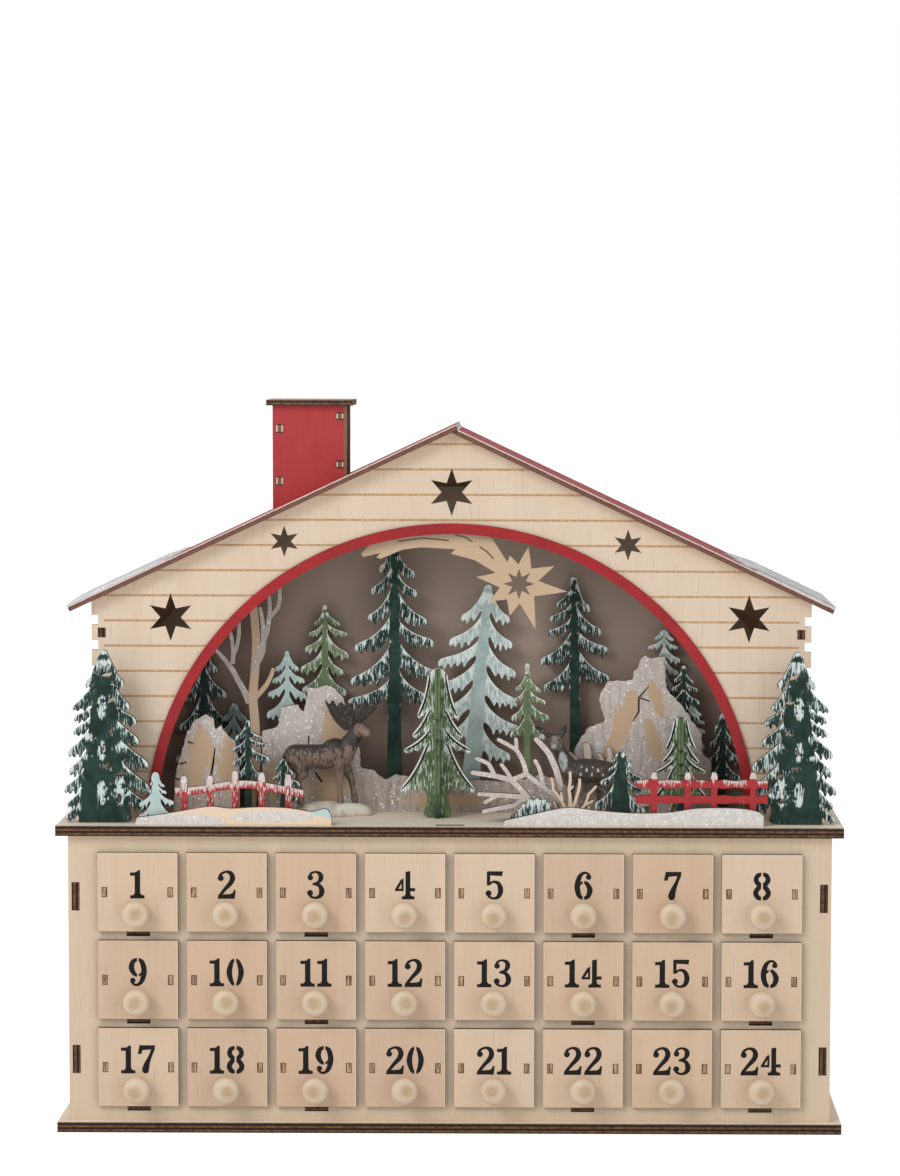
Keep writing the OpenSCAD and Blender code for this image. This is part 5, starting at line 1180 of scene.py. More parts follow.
def rock_coat(name, x, width, height, patches):
    shader, spot = start_material(name, 0.6)
    grain = use_effect(birch_grain, spot=spot, run=GRAIN_UPRIGHT, light=ROCK_TAN, dark=ROCK_TAN_DARK,
        seed=71.0)
    part = split("XYZ", spot)
    height_above = part["Z"] - deck_top
    rubbed = noise(spot * (520, 60, 48), 1.0, 4, 0.62)
    # Painted shade: the glitter is coloured darker and browner towards the deck; it is also streaked upright
    # where rubbed thin.
    coat = use_effect(glitter, spot=spot, white=mix(clamped(fade(height_above, 0.75 * height * MM, 0.0) * 0.55
        + fade(rubbed, 0.45, 0.68, -0.15, 0.35)), (0.6, 0.53, 0.485), (0.25, 0.195, 0.155)))
    edge = use_effect(charred_edge, spot=spot)
    paint = brushed_paint()
    ragged = noise(spot * (210, 60, 80), 1.0, 4, 0.65)
    nearest = None
    for px, pz, half, tall, tilt in patches:
        up = part["Z"] - (deck_top + pz * height * MM)
        aside = up * -tilt + (part["X"] - (x + px * width * MM))
        away = abs(aside / (1.2 * half * MM)) + calc("POWER", abs(up / (tall * MM)), 2.0)
        nearest = away if nearest is None else calc("MINIMUM", nearest, away)
    share = nearest + (ragged * 2.8 - 1.4)
    share = share + (rubbed * 1.1 - 0.55)
    share = fade(paint * 0.1 + share, 0.9, 1.25)
    colour = mix(share, grain["Colour"], coat["Colour"])
    return finish(shader, colour, coat["Height"] * share, 0.5, 0.0002, edge, coat["Roughness"])


ROCKS = {
    "left_rock": (-0.688, 36, 56, table(1000, 2, -500, 0, -480, 340, -453, 470, -380, 618, -294, 823, -178,
        934, 0, 991, 110, 954, 140, 840, 228, 888, 344, 768, 444, 730, 500, 500, 500, 0),
        [table(100, 2, 13, 66, 10, 50, 6, 36, -5, 22), [(-0.47, 0.36), (-0.36, 0.34)],
        [(-0.4, 0.5), (-0.3, 0.52)], [(-0.28, 0.72), (-0.2, 0.7)]], [(-0.14, 0.55, 6, 18, 0.12),
        (0.32, 0.5, 4.5, 16, 0)]),
    "middle_rocks": (-0.376, 62, 70, table(1000, 2, -510, 0, -510, 636, -380, 667, -337, 830, -190, 846, -140,
        787, -106, 980, 5, 984, 60, 1000, 139, 970, 215, 896, 260, 770, 360, 474, 368, 347, 484, 331, 573,
        257, 680, 300, 860, 270, 1100, 250, 1400, 260, 1700, 240, 1960, 300, 2100, 270, 2200, 200, 2200, 0),
        [[(-0.097, 0.595), (-0.1, 0.53)], table(1000, 2, -39, 317, -10, 270, 19, 235)],
        [(0.12, 0.66, 6.5, 13, -0.15), (0.1, 0.2, 9, 11, -0.1), (1.1, 0.09, 16, 4.5, 0.1),
        (-0.42, 0.2, 3, 12, 0)]),
    "right_rock": (0.536, 72, 87, table(1000, 2, -520, 0, -520, 400, -468, 483, -410, 544, -285, 585, -322,
        664, -336, 711, -315, 772, -264, 839, -82, 843, -74, 899, -38, 917, -22, 972, 14, 1000, 72, 980, 130,
        990, 168, 990, 180, 790, 306, 676, 453, 500, 458, 386, 525, 325, 525, 0),
        [table(1000, 2, 43, 800, -30, 730, -30, 640, -74, 580), [(-0.024, 0.728), (0.057, 0.706)]],
        table(100, 5, -13, 60, 450, 1700, 24, -24, 30, 500, 1600, 2, 10, 74, 300, 1200, -30, 9, 45, 320, 1400,
        -35, 36, 20, 500, 900, 10)),
}


def broken(outline):
    """Small nicks along an outline: a short step in and a shorter one out, again and again."""
    points, turn = [], 0
    for p, q in zip(outline, outline[1:]):
        length = math.dist(p[:2], q[:2])
        count = int(length / (2.1 * MM)) if min(p[1], q[1]) > deck_top + 2 * MM else 0
        across = ((p[1] - q[1]) / length, (q[0] - p[0]) / length)
        points.append(p)
        for k in range(1, count):
            turn += 1
            step = (-0.55, 0.05, -0.25, -0.7, 0.1, -0.4, 0.0)[turn % 7] * MM
            at = between(p, q, (k + (0.2, -0.25, 0.1)[turn % 3]) / count)
            points.append((at[0] + across[0] * step, at[1] + across[1] * step, *at[2:]))
    return points + [outline[-1]]


for node, (share, width, height, outline, cracks, bare) in ROCKS.items():
    x, front = share * HOUSE_WIDTH / 2, front_of(node)

    def stand(points, paint=None):
        return [(x + px * width * MM, deck_top + pz * height * MM, *(() if paint is None else (paint(pz),)))
            for px, pz in points]
    loop = rounded(broken(stand(outline, lambda z: 1.0 if z > 0.12 else -0.2))[::-1], 1, 0.5 * MM)
    rock = cut_board(node + "_board", [loop], front, SCENERY_THICKNESS, [stroke([(*p, w * MM) for p,
        w in zip(stand(line), (0.4, 1.0, 0.9, 0.4) if len(line) > 2 else (0.8, 0.4))], False)
        for line in cracks])
    dress(rock, rock_coat(node + " coat", x, width, height, bare), slot="rock", instead=node)


# Bare tree, deadwood, rear root and shrub: the tree's trunk is bare birch and its forks are whitened, and
# so are the deadwood and the root; the shrub is left bare. All are cut from the same ply as the firs.
def whitened_wood(name, light=(0.63, 0.45, 0.3), dark=(0.54, 0.38, 0.25)):
    shader, spot = start_material(name, 0.65)
    grain = use_effect(birch_grain, spot=spot, run=GRAIN_UPRIGHT, light=light, dark=dark, seed=83.0)
    coat = use_effect(glitter, spot=spot, white=(0.6, 0.52, 0.47))
    edge = use_effect(charred_edge, spot=spot)
    paint = brushed_paint()
    share = fade(noise(spot, 180.0, 3) * 0.8 - 0.4 + paint, 0.35, 0.6)
    colour = mix(share, grain["Colour"], coat["Colour"])
    return finish(shader, colour, coat["Height"] * share, 0.5, 0.0002, edge)


def limbs_board(name, limbs, share, front, size, paint_of):
    """Tapered limbs, each from x, z to x, z and from one width to another, grown into one board."""
    x, loops = share * HOUSE_WIDTH / 2, []
    for limb in limbs:
        ax, az, bx, bz, aw, bw = limb
        paint = paint_of(limb)
        shape = stroke([(ax, az, aw), ((ax + bx) / 2 + (bz - az) * 0.04, (az + bz) / 2, (aw + bw) / 2),
            (bx, bz, bw)])
        loops.append([(x + p[0] * size, deck_top + max(p[1], 0.0) * size, paint) for p in shape])
        loops.append([(p[0], max(p[1], deck_top), paint) for p in disc(x + bx * size, deck_top + bz * size,
            bw * size / 2 * 1.04, 12)])
    return cut_board(name, loops, front, SCENERY_THICKNESS)


BARE_TREE = table(1000, 6, 0, 0, 10, 500, 44, 40, 10, 500, 5, 970, 40, 36, -5, 470, -56, 575, 30, 26, -56,
    575, -89, 633, 26, 24, -89, 633, -156, 709, 22, 18, -77, 642, -77, 726, 22, 18, -77, 726, -89, 784, 18,
    18, -77, 675, -56, 725, 20, 18, -56, 725, -48, 817, 18, 18, 10, 620, 53, 692, 30, 26, 53, 692, 57, 759,
    26, 22, 57, 759, 44, 884, 22, 18, 56, 733, 83, 843, 24, 22, 83, 843, 124, 893, 20, 20, 124, 893, 129, 968,
    20, 18, 83, 843, 83, 935, 20, 18, 15, 490, 70, 550, 26, 22, 70, 550, 99, 617, 22, 18)
BARE_LIMBS = BARE_TREE[:2] + BARE_TREE[-2:]
DEADWOOD = table(1000, 6, 250, 0, 127, 290, 90, 75, 127, 290, -44, 483, 75, 65, -44, 483, -238, 529, 65, 60,
    -238, 529, -477, 565, 60, 55, -238, 529, -306, 667, 55, 50, -306, 667, -433, 723, 50, 45, -44, 483, -158,
    654, 50, 45, -44, 483, 117, 552, 60, 60, 117, 552, 70, 713, 60, 55, 70, 713, 2, 827, 55, 50, 2, 827, 2,
    940, 50, 45, 2, 827, -190, 935, 50, 45, 117, 552, 300, 415, 60, 60, 300, 415, 458, 302, 60, 65, 300, 415,
    275, 575, 55, 50, 275, 575, 219, 700, 50, 45, 420, 0, 458, 302, 90, 80, 458, 302, 494, 438, 80, 75, 494,
    438, 379, 769, 75, 70, 379, 769, 230, 940, 70, 60, 127, 290, -190, 313, 60, 55, -190, 313, -408, 323, 55,
    45, -190, 313, -340, 233, 50, 45, 127, 290, -20, 198, 60, 55, -20, 198, -352, 129, 55, 50)
REAR_ROOT = table(1000, 6, 0, 0, -12, 290, 150, 140, -12, 290, -50, 720, 110, 100, -50, 720, -70, 885, 100,
    95, -30, 430, -195, 690, 70, 60, -195, 690, -285, 785, 60, 55, -20, 380, 240, 720, 80, 70, 240, 720, 225,
    840, 70, 65, 170, 628, 100, 775, 50, 40, -20, 300, 90, 355, 60, 55, 90, 355, 180, 290, 55, 45, 0, 140,
    200, 165, 60, 40, 0, 50, 640, 50, 75, 60, 640, 50, 665, 115, 60, 50, 665, 115, 590, 150, 50, 45, 590, 150,
    550, 215, 45, 40, 665, 115, 745, 125, 45, 40)
SHRUB = table(1000, 6, 20, 0, 20, 300, 130, 100, 20, 300, 0, 620, 75, 60, 0, 620, 20, 930, 60, 55, 0, 600, 70,
    680, 45, 40, 40, 240, 140, 500, 70, 60, 140, 500, 190, 720, 60, 60, 190, 720, 190, 800, 60, 55, 100, 140,
    280, 340, 70, 55, 280, 340, 350, 540, 55, 50, 350, 540, 480, 680, 50, 45, 280, 340, 420, 420, 50, 45, 50,
    50, 330, 220, 60, 45, 330, 220, 360, 320, 45, 40, -20, 160, -120, 400, 80, 60, -120, 400, -280, 620, 60,
    55, -280, 620, -310, 820, 55, 50, -120, 400, -140, 560, 50, 45, -40, 100, -220, 240, 60, 50, -220, 240,
    -260, 400, 45, 40)
forked_wood = whitened_wood("whitened forks")
shrub_wood = whitened_wood("shrub wood", (0.72, 0.56, 0.43), (0.64, 0.47, 0.34))
for name, limbs, share, front, size, paint_of, wood, slot, node in (
    ("bare_tree_board", BARE_TREE, -0.5735, front_of("bare_tree"), 126, lambda limb: 0.0 if limb in BARE_LIMBS
        else 0.8, forked_wood, "birch", "bare_tree"),
    ("deadwood_board", DEADWOOD, 0.18, front_of("deadwood"), 48, lambda limb: 0.9, forked_wood, "snow",
        "deadwood"),
    ("rear_root_board", REAR_ROOT, 0.392, ROW_1 - 4 * MM, 42, lambda limb: 0.5, forked_wood, "snow", None),
    ("shrub_board", SHRUB, 0.327, front_of("shrub"), 30, lambda limb: 0.0, shrub_wood, "birch", "shrub"),
):
    board = limbs_board(name, limbs, share, front, size * MM, paint_of)
    dress(board, wood, slot=slot, instead=node)


# Fences: posts and rails in one board, painted red, with glitter snow brushed on the post tops and along
# the upper rails. The left one's posts stand at uneven heights.
FENCE_HEIGHT = 28.5 * MM
POST_WIDTH = 3.5 * MM
RAIL_HEIGHT = 4.2 * MM
LEFT_POSTS = table(1000, 2, -733, 900, -661, 910, -592, 1000, -519, 970, -446, 930)
LEFT_RAIL = table(1000, 2, -758, 610, -700, 630, -595, 740, -520, 720, -404, 570)
RIGHT_POSTS = [0.561, 0.654, 0.727, 0.834]
RIGHT_RAIL = (0.512, 0.875)
RIGHT_RAIL_HEIGHTS = (0.49, 0.78)


def snow_on_red():
    shader, spot = start_material("fence red", 0.6)
    coat = use_effect(thin_paint, spot=spot, run=GRAIN_UPRIGHT, wear=0.3)
    snow = use_effect(glitter, spot=spot, white=(0.76, 0.7, 0.67))
    edge = use_effect(charred_edge, spot=spot)
    paint = brushed_paint()
    drip = noise(spot * (1300, 0, 260), 1.0, 3, 0.6)
    share = fade(paint + (drip * 3.2 - 1.6), 0.25, 0.65)
    colour = mix(share * 0.92, coat["Colour"], snow["Colour"])
    rim = edge["Edge"] * 0.85
    return finish(shader, mix(rim, colour, edge["Colour"]), share * 0.8 + snow["Height"], 0.4, 0.0003)


def fence_post(x, top, width=POST_WIDTH, brushed=0.0):
    w = width / 2
    return [(x - w, deck_top, brushed - 1.0), (x + w, deck_top, brushed - 1.0),
        (x + w, deck_top + top * 0.6, brushed - 0.7), (x + w * 1.1, deck_top + top * 0.9, 0.8),
        (x + w * 0.7, deck_top + top, 1.1), (x - w * 0.6, deck_top + top * 1.01, 1.1),
        (x - w * 1.1, deck_top + top * 0.9, 0.8), (x - w, deck_top + top * 0.6, brushed - 0.7)]


half_house = HOUSE_WIDTH / 2
left_rail = smooth_line([(s * half_house, deck_top + h * FENCE_HEIGHT) for s, h in LEFT_RAIL], 6)
left_fence = [fence_post(s * half_house, h * FENCE_HEIGHT, brushed=0.95) for s, h in LEFT_POSTS]
left_fence.append([(x, z - RAIL_HEIGHT / 2, 0.0) for x, z in left_rail] + [(x, z + RAIL_HEIGHT / 2, 0.85)
    for x, z in left_rail[::-1]])
right_fence = [fence_post(s * half_house, FENCE_HEIGHT) for s in RIGHT_POSTS]
for share, top_paint in zip(RIGHT_RAIL_HEIGHTS, (-1.0, 0.75)):
    z = deck_top + share * FENCE_HEIGHT
    steps = [RIGHT_RAIL[0] + (RIGHT_RAIL[1] - RIGHT_RAIL[0]) * k / 12 for k in range(13)]
    wave = [(s * half_house, 0.00035 * math.sin(s * 90)) for s in steps]
    right_fence.append([(x, z + d - RAIL_HEIGHT / 2, -0.2) for x, d in wave]
        + [(x, z - d + RAIL_HEIGHT / 2, top_paint) for x, d in wave[::-1]])

fence_red = snow_on_red()
for name, loops, crossing in (("left_fence", left_fence, 0.4), ("right_fence", right_fence, -0.4)):
    fence = cut_board(name, loops, FENCE_FRONT, SCENERY_THICKNESS, crossing=crossing)
    dress(fence, fence_red, slot="red_paint", instead="fences" if name == "left_fence" else None)


# Snowbanks: low wavy boards at the deck's front edge. The right one is glittered all over. The left one
# keeps bare wood round two long white patches, and its right end is painted a light blue.
LEFT_BANK = table(1000, 2, -867, 0, -860, 400, -800, 550, -740, 750, -660, 1000, -600, 900, -520, 980, -440,
    920, -380, 750, -340, 900, -325, 450, -325, 0)
RIGHT_BANK = table(1000, 2, 145, 0, 150, 300, 220, 600, 320, 1000, 400, 860, 500, 720, 600, 760, 680, 980,
    780, 1000, 840, 850, 863, 600, 863, 0)
LEFT_PATCHES = [(-0.75, 0.15, 0.135, 0.45), (-0.49, 0.45, 0.115, 0.3)]
BLUE_END, BLUE_FALL = -0.385, 0.23
BANK_HEIGHT = 10 * MM


def bank_coat(name, covered):
    shader, spot = start_material(name, 0.6)
    grain = use_effect(birch_grain, spot=spot, run=GRAIN_ALONG, light=(0.8, 0.635, 0.47),
        dark=(0.72, 0.55, 0.395), seed=91.0)
    snow = use_effect(glitter, spot=spot, white=(0.7, 0.67, 0.64))
    edge = use_effect(charred_edge, spot=spot)
    colour = snow["Colour"]
    if not covered:
        part = split("XYZ", spot)
        inside = 0.0
        for share, height, half_w, half_h in LEFT_PATCHES:
            centred = spot - (share * half_house, 0, deck_top + height * BANK_HEIGHT)
            flat = centred * (1 / (half_w * half_house), 0, 1 / (half_h * BANK_HEIGHT))
            length = calc("LENGTH", flat)
            inside = calc("MAXIMUM", inside, fade(length, 1.06, 0.98))
        colour = mix(inside, grain["Colour"], snow["Colour"])
        along = part["X"] - BLUE_END * half_house
        level = part["Z"] - (deck_top + 0.62 * BANK_HEIGHT)
        level = along * BLUE_FALL + level
        blue = fade(along, 0.0, 0.2 * MM) * fade(level, -0.1 * MM, 0.1 * MM)
        colour = mix(blue, colour, (0.47, 0.59, 0.57))
    return finish(shader, colour, snow["Height"], 0.3 if covered else 0.15, 0.0002, edge)


for name, shares in (("left_bank", LEFT_BANK), ("right_bank", RIGHT_BANK)):
    curve = smooth_line([(s * half_house, h * BANK_HEIGHT) for s, h in shares[1:-1]], 5)
    loop = [(shares[0][0] * half_house, deck_top)]
    loop += [(x, deck_top + z) for x, z in curve] + [(shares[-1][0] * half_house, deck_top)]
    bank = cut_board(name, [loop[::-1]], front_of("snowbanks"), SCENERY_THICKNESS)
    covered = name == "right_bank"
    dress(bank, bank_coat(name + " coat", covered), slot="snow", instead=None if covered else "snowbanks")


# Roof snow: glitter brushed thick along both eaves, which thins out up the slope in a ragged line.
SNOW_RUN = 66 * MM
SNOW_DEPTH = 2.2 * MM
SNOW_ROWS, SNOW_COLUMNS = 22, 40
shader, spot = start_material("roof snow", 0.55)
coat = use_effect(glitter, spot=spot, white=(0.74, 0.75, 0.77))
snow_material = finish(shader, coat["Colour"], coat["Height"], 0.6, 0.0003, roughness=coat["Roughness"])
dice = random.Random(24)
ridge_z = facade_high.z
for side, node in ((-1, "roof_left"), (1, "roof_right")):
    low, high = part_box(node)
    run = abs(low.x if side < 0 else high.x) / math.cos(SLOPE) - ROOF_THICKNESS * math.tan(SLOPE)
    edge_line = [SNOW_RUN * (0.72 + 0.25 * math.sin(k * 0.9 + side) * math.sin(k * 0.37) + 0.05
        * dice.random()) for k in range(SNOW_COLUMNS + 1)]
    verts, faces = [], []
    for level in (0, 1):
        for k in range(SNOW_COLUMNS + 1):
            y = low.y + (high.y - low.y) * k / SNOW_COLUMNS
            for j in range(SNOW_ROWS + 1):
                up = j / SNOW_ROWS
                along = run - edge_line[k] * up
                rim = min(1.0, (1 - up) * 5, k / 1.5 + 0.25, (SNOW_COLUMNS - k) / 1.5 + 0.25, up * 8 + 0.35)
                thick = level * SNOW_DEPTH * (0.25 + 0.6 * rim + 0.12 * dice.random()
                    * rim) if up < 1 else 0.0
                off = ROOF_THICKNESS + max(thick, 0.02 * MM * level)
                verts.append((side * (along * math.cos(SLOPE) + off * math.sin(SLOPE)), y,
                    ridge_z - along * math.sin(SLOPE) + off * math.cos(SLOPE)))
    span, sheet = SNOW_ROWS + 1, (SNOW_COLUMNS + 1) * (SNOW_ROWS + 1)
    for k in range(SNOW_COLUMNS):
        for j in range(SNOW_ROWS):
            a = k * span + j
            quad = (a, a + 1, a + span + 1, a + span)
            faces.append(quad if side > 0 else quad[::-1])
            faces.append(tuple(i + sheet for i in (quad[::-1] if side > 0 else quad)))
    for k in range(SNOW_COLUMNS):
        for a in (k * span, k * span + SNOW_ROWS):
            faces.append((a, a + span, a + span + sheet, a + sheet))
    for j in range(SNOW_ROWS):
        for a in (j, SNOW_COLUMNS * span + j):
            faces.append((a, a + 1, a + 1 + sheet, a + sheet))
    dress(make_piece("snow_on_" + node, verts, faces, smooth=True), snow_material, slot="snow",
        instead="roof_snow" if side < 0 else None)


# Deer and fawn: small castings painted by hand, the deer on an off-white oval of snow and the fawn on
# its own low mound. Their coats are streaked brown over grey, darkest along the back.
def cast_body(name, chains, pairs, size, voxel):
    """Balls and cones along each chain, grown together and smoothed as a casting is. A chain of pairs
    lies on the side where its second number is negative, and again mirrored."""
    verts, faces, rings, around = [], [], 8, 16
    for chain, side in [(c, 1) for c in chains] + [(c, s) for c in pairs for s in (1, -1)]:
        balls = [(Vector((x, side * y, z)) * size, r * size) for x, y, z, r in chain]
        for (a, ra), (b, rb) in zip(balls, balls[1:]):
            turn = (b - a).to_track_quat("Z", "Y")
            first, length = len(verts), (b - a).length
            profile = [(ra * math.sin(t), -ra * math.cos(t)) for t in [math.pi / 2 * k / rings
                for k in range(rings)]]
            profile += [(rb * math.cos(t), length + rb * math.sin(t)) for t in [math.pi / 2 * k / rings
                for k in range(rings + 1)]]
            for radius, height in profile:
                for k in range(around):
                    angle = 2 * math.pi * k / around
                    local = Vector((max(radius, 1e-06) * math.cos(angle),
                        max(radius, 1e-06) * math.sin(angle), height))
                    verts.append(tuple(a + turn @ local))
            for row in range(len(profile) - 1):
                for k in range(around):
                    p, q = first + row * around + k, first + row * around + (k + 1) % around
                    faces.append((p, q, q + around, p + around))
            faces.append(tuple(first + k for k in range(around))[::-1])
            faces.append(tuple(first + (len(profile) - 1) * around + k for k in range(around)))
    body = make_piece(name, verts, faces)
    remesh = body.modifiers.new("grow together", "REMESH")
    remesh.mode = "VOXEL"
    remesh.voxel_size = voxel
    relax = body.modifiers.new("smooth", "SMOOTH")
    relax.factor = 0.5
    relax.iterations = 5
    cast = bpy.data.meshes.new_from_object(body.evaluated_get(bpy.context.evaluated_depsgraph_get()))
    body.modifiers.clear()
    body.data = cast
    cast.shade_smooth()
    return body


def put_down(piece, x, y, z, mirror=1):
    piece.data.transform(Matrix.Translation((x, y, z)) @ Matrix.Diagonal((mirror, 1, 1, 1)))
    if mirror < 0:
        piece.data.flip_normals()
    return piece


def on_body(spot, x, y, z, size, mirror=1):
    return x + mirror * spot[0] * size, y + spot[1] * size, z + spot[2] * size


def animal_coat(name, back_z, belly_z, coat, back, pale, touches):
    """Brown body, dark streaked back and paler streaks below; then touches of the brush, as (place,
    radius, flatness, colour)."""
    shader, spot = start_material(name, 0.6)
    part = split("XYZ", spot)
    hair = noise(spot * (800, 800, 280), 1.0, 3, 0.6)
    normal = normal_here()
    up = split("XYZ", normal)["Z"]
    height = fade(part["Z"], belly_z, back_z)
    dark = height * 0.8 + (hair * 2.0 - 1.1)
    dark = fade(dark + up * 0.25, 0.25, 0.7)
    colour = mix(fade(hair, 0.55, 0.42), coat, pale)
    colour = mix(dark, colour, back)
    for centre, radius, flatness, touch in touches:
        away = (spot - centre) * (1, 1, flatness)
        length = calc("LENGTH", away)
        length = hair * (radius * 0.5) + length
        colour = mix(fade(length, radius * 1.35, radius * 1.05), colour, touch)
    colour = mix(fade(hair, 0.56, 0.66, 0.0, 0.7), colour, back)
    colour = mix(fade(hair, 0.42, 0.34, 0.0, 0.55), colour, pale)
    return finish(shader, colour, hair, 0.6, 0.0005)


DEER_SIZE = 33 * MM
DEER_PLACE = (-0.335 * HOUSE_WIDTH / 2, (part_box("deer")[0].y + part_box("deer")[1].y) / 2, deck_top + 6.5 * MM)
DEER_CHAINS = [table(1000, 4, -630, 0, 800, 170, -400, 0, 770, 205, -100, 0, 770, 205, 30, 0, 850, 230, 130,
    0, 800, 205), table(1000, 4, 190, 0, 860, 200, 280, 0, 1000, 150, 370, 0, 1150, 120, 380, 0, 1270, 105),
    table(1000, 4, 380, 0, 1270, 110, 460, -60, 1235, 96, 530, -100, 1200, 86, 570, -130, 1175, 76),
    table(100, 4, -68, 0, 86, 6, -77, 0, 80, 5, -80, 0, 70, 4), table(1000, 4, 100, -100, 700, 120, 120, -100,
    400, 60, 120, -100, 200, 45, 130, -100, 20, 60), table(1000, 4, 160, 90, 680, 120, 300, 90, 380, 58, 330,
    90, 200, 45, 360, 90, 30, 60)]
DEER_PAIRS = [table(1000, 4, -600, -80, 700, 160, -500, -90, 500, 95, -580, -90, 360, 58, -560, -90, 180, 45,
    -530, -90, 30, 60), table(1000, 4, 340, -80, 1320, 30, 280, -140, 1370, 34, 240, -180, 1410, 18)]
deer = put_down(cast_body("deer_body", DEER_CHAINS, DEER_PAIRS, DEER_SIZE, 0.4 * MM), *DEER_PLACE)
DARK_TOUCH = (0.012, 0.009, 0.008)
FACE_TOUCH = (0.2, 0.13, 0.095)
LEG_TOUCH = (0.21, 0.14, 0.108)
deer_touches = [(on_body(spot, *DEER_PLACE, DEER_SIZE), radius * MM, flatness, touch) for spot, radius,
    flatness, touch in (((0.12, -0.1, 0.3), 3.6, 0.32, LEG_TOUCH), ((-0.52, -0.1, 0.3), 3.8, 0.34, LEG_TOUCH),
    ((0.25, -0.1, 0.82), 3.4, 0.5, LEG_TOUCH), ((0.48, -0.08, 1.22), 4.4, 1, FACE_TOUCH),
    ((0.55, -0.13, 1.17), 3.4, 1, (0.23, 0.155, 0.115)), ((0.41, -0.1, 1.285), 0.75, 1, DARK_TOUCH),
    ((-0.78, 0, 0.78), 2.4, 0.7, (0.05, 0.034, 0.028)))]
dress(deer, animal_coat("deer coat", DEER_PLACE[2] + 34 * MM, DEER_PLACE[2] + 21 * MM, (0.105, 0.07, 0.053),
    (0.033, 0.026, 0.022), (0.2, 0.14, 0.108), deer_touches), slot="resin", instead="deer")


# The antlers are flat palms of the same resin, turned about their roots so that one points back and the
# other forward.
ANTLER_THICKNESS = 1.6 * MM
ANTLER_TURN = math.radians(-25)
LEFT_ANTLER = (0.36, table(1000, 2, 360, 1300, 242, 1180, 121, 1242, -30, 1409, -164, 1709, -60, 1600, -15,
    1712, 60, 1570, 121, 1680, 190, 1600, 270, 1680, 340, 1560, 370, 1380))
RIGHT_ANTLER = (0.42, table(1000, 2, 420, 1300, 576, 1439, 697, 1545, 839, 1767, 727, 1660, 667, 1742, 606,
    1600, 530, 1697, 460, 1540, 400, 1400))
shader, spot = start_material("antler horn", 0.65)
streak = noise(spot, 700.0, 3, 0.6)
horn = finish(shader, mix(fade(streak, 0.56, 0.7), (0.024, 0.018, 0.014), (0.15, 0.12, 0.1)), streak, 0.5,
    0.0004)
for name, (root, shares) in (("left_antler", LEFT_ANTLER), ("right_antler", RIGHT_ANTLER)):
    palm = cut_board(name, [rounded([((p - root) / math.cos(ANTLER_TURN) * DEER_SIZE, q * DEER_SIZE) for p,
        q in shares], 1)], -ANTLER_THICKNESS / 2, ANTLER_THICKNESS, bevel=0.5 * MM)
    palm.data.transform(Matrix.Translation((DEER_PLACE[0] + root * DEER_SIZE,
        *DEER_PLACE[1:])) @ Matrix.Rotation(ANTLER_TURN, 4, "Z"))
    dress(palm, horn, slot="resin")


def snow_mound(name, x, y, width, depth, height, bumps):
    """A low mound with a soft uneven rim, closed underneath."""
    steps, rings = 48, 10
    verts, faces = [], []
    for ring in range(rings + 1):
        share = ring / rings
        for k in range(steps):
            angle = 2 * math.pi * k / steps
            wobble = 1 - 0.03 * (1 + math.sin(3 * angle + bumps)) - 0.02 * (1
                + math.sin(5 * angle + 2 * bumps))
            reach = math.cos(share * math.pi / 2) ** 0.5 * wobble
            rise = math.sin(share * math.pi / 2) ** 0.8 * (1 + 0.06 * math.sin(2 * angle + bumps))
            verts.append((x + reach * width / 2 * math.cos(angle), y + reach * depth / 2 * math.sin(angle),
                deck_top + min(rise, 1.0) * height))
    for ring in range(rings):
        for k in range(steps):
            a, b = ring * steps + k, ring * steps + (k + 1) % steps
            faces.append((a, b, b + steps, a + steps))
    faces.append(tuple(range(steps))[::-1])
    faces.append(tuple(rings * steps + k for k in range(steps)))
    return make_piece(name, verts, faces, smooth=True)


FAWN_SIZE = 27 * MM
FAWN_PLACE = (0.387 * HOUSE_WIDTH / 2, DEER_PLACE[1], deck_top + 3 * MM)
shader, spot = start_material("mound white", 0.6)
dirt = noise(spot, 160.0, 4, 0.6)
mound_paint = finish(shader, mix(fade(dirt, 0.4, 0.75), (0.66, 0.62, 0.54), (0.4, 0.35, 0.28)), dirt, 0.4,
    0.0006)
for name, x, width, depth, height in (
    ("deer_mound", DEER_PLACE[0], 46 * MM, 19 * MM, 7 * MM),
    ("fawn_mound", FAWN_PLACE[0], 30 * MM, 12 * MM, 3.4 * MM),
):
    dress(snow_mound(name, x, DEER_PLACE[1], width, depth, height, width * 900), mound_paint, slot="resin")

FAWN_CHAINS = [table(100, 4, -30, 0, 80, 21, -10, 0, 80, 24, 15, 0, 80, 25, 36, 0, 78, 22),
    table(100, 4, 44, 0, 90, 20, 56, 0, 112, 13, 66, 0, 132, 11), table(1000, 4, 690, 0, 1415, 135, 710, -100,
    1360, 100, 730, -200, 1320, 70), table(1000, 4, -460, 0, 840, 50, -520, 0, 700, 45),
    table(100, 4, 76, 0, 148, 5, 95, -1, 160, 6, 110, -2, 170, 3), table(1000, 4, 620, 0, 1480, 50, 550, -10,
    1600, 60, 490, -20, 1715, 30)]
FAWN_PAIRS = [table(100, 4, 34, -9, 70, 10, 36, -9, 36, 5, 37, -9, 2, 5),
    table(1000, 4, -280, -80, 720, 140, -400, -80, 380, 55, -360, -80, 20, 50)]
fawn = put_down(cast_body("fawn_body", FAWN_CHAINS, FAWN_PAIRS, FAWN_SIZE, 0.35 * MM), *FAWN_PLACE, -1)
WHITE_TOUCH = (0.62, 0.6, 0.55)
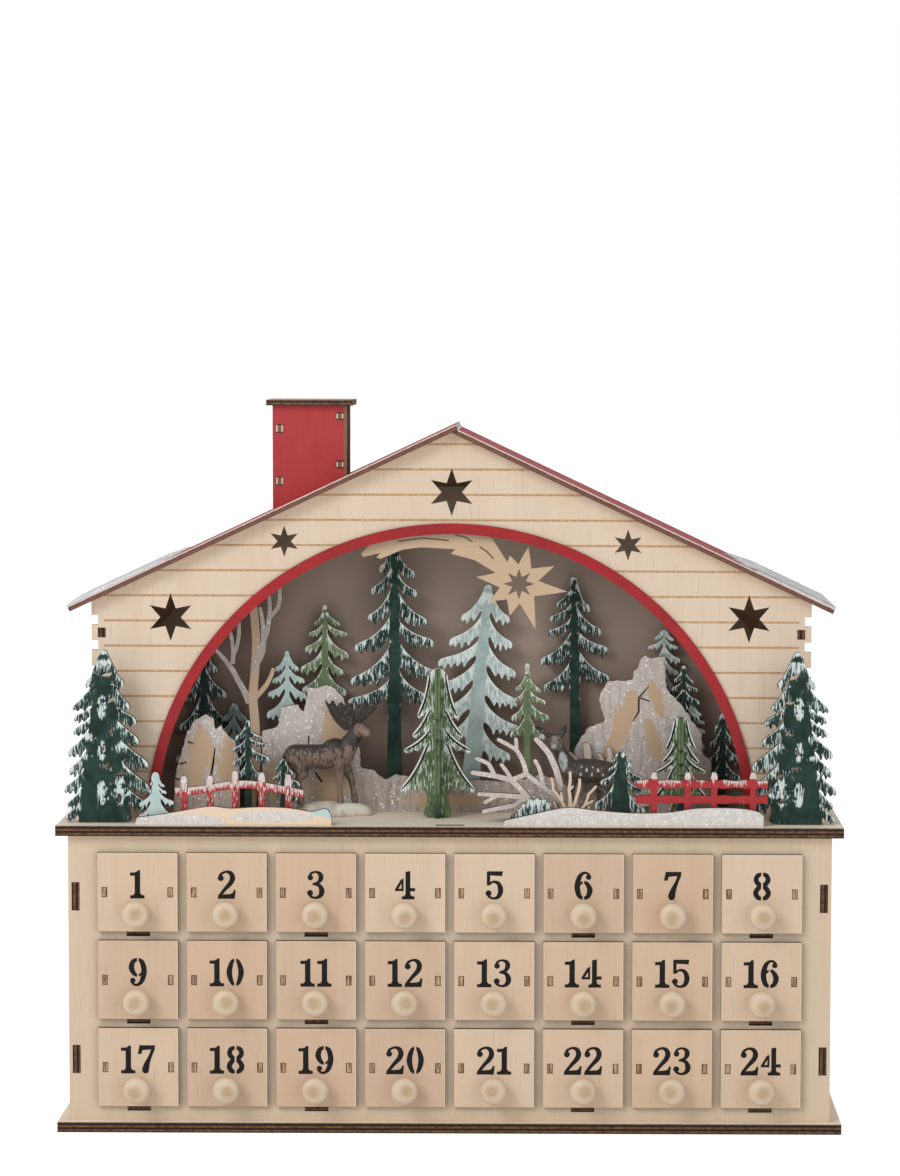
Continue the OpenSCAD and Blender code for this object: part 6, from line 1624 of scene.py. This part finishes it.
fawn_touches = [(on_body(spot, *FAWN_PLACE, FAWN_SIZE, -1), radius * MM, flatness, touch) for spot, radius,
    flatness, touch in (((0.56, -0.16, 1.0), 3.0, 0.5, (0.46, 0.5, 0.5)),
    ((0.7, -0.12, 1.38), 4.4, 1, (0.24, 0.205, 0.175)), ((0.72, -0.24, 1.3), 1.8, 1, (0.42, 0.42, 0.4)),
    ((0.63, -0.13, 1.43), 0.8, 1, DARK_TOUCH), ((0.79, -0.12, 1.42), 0.8, 1, DARK_TOUCH),
    ((0.735, -0.28, 1.345), 0.45, 1, DARK_TOUCH), ((1.04, -0.02, 1.65), 2.0, 1, DARK_TOUCH),
    ((0.52, -0.02, 1.66), 1.9, 1, DARK_TOUCH))]
fawn_touches += [(on_body((px, -0.23, pz), *FAWN_PLACE, FAWN_SIZE, -1), 0.72 * MM, 0.6, WHITE_TOUCH) for px,
    pz in ((-0.38, 0.82), (-0.28, 0.9), (-0.26, 0.74), (-0.16, 0.84), (-0.05, 0.92), (-0.04, 0.75),
    (0.07, 0.84), (0.17, 0.93), (0.19, 0.76))]
dress(fawn, animal_coat("fawn coat", FAWN_PLACE[2] + 27 * MM, FAWN_PLACE[2] + 16 * MM, (0.085, 0.064, 0.052),
    (0.05, 0.038, 0.032), (0.115, 0.09, 0.075), fawn_touches), slot="resin", instead="fawn")


# Floor, lights and world: a white sheet, a large soft light from the upper left, a weaker fill from the
# right, and an even white surround, as in a catalogue picture.
floor = make_piece("floor", [(-12, -12, 0), (12, -12, 0), (12, 12, 0), (-12, 12, 0)], [(0, 1, 2, 3)])
floor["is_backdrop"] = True
floor.location.z = cad_low.z - 0.0001
shader, spot = start_material("floor white", 0.9)
floor.data.materials.append(finish(shader, mix(noise(spot, 3.0, 2), (0.93, 0.93, 0.93), (0.95, 0.95, 0.95))))
shader.inputs["Emission Color"].default_value = (1, 1, 1, 1)
feed(shader.inputs["Emission Strength"], place("LightPath", output="Is Camera Ray") * 0.6)


def soft_light(name, spot, aim, size, power):
    light = bpy.data.lights.new(name, "AREA")
    light.shape = "RECTANGLE"
    light.size, light.size_y = size
    light.energy = power
    lamp = bpy.data.objects.new(name, light)
    scene.collection.objects.link(lamp)
    lamp.location = spot
    lamp.rotation_euler = (Vector(aim) - Vector(spot)).to_track_quat("-Z", "Y").to_euler()


soft_light("key", (-1.3, -1.6, 1.5), (0, 0, 0.2), (1.1, 1.1), 25)
soft_light("fill", (1.5, -1.5, 0.8), (0, 0, 0.2), (1.4, 1.4), 6)
world = bpy.data.worlds.new("white surround")
world.use_nodes = True
scene.world = world
surround = world.node_tree.nodes["Background"]
surround.inputs["Color"].default_value = (1, 1, 1, 1)
tree = world.node_tree
feed(surround.inputs["Strength"], place("LightPath", output="Is Camera Ray") * 0.4 + 0.6)
scene.view_settings.view_transform = "Standard"
low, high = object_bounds()
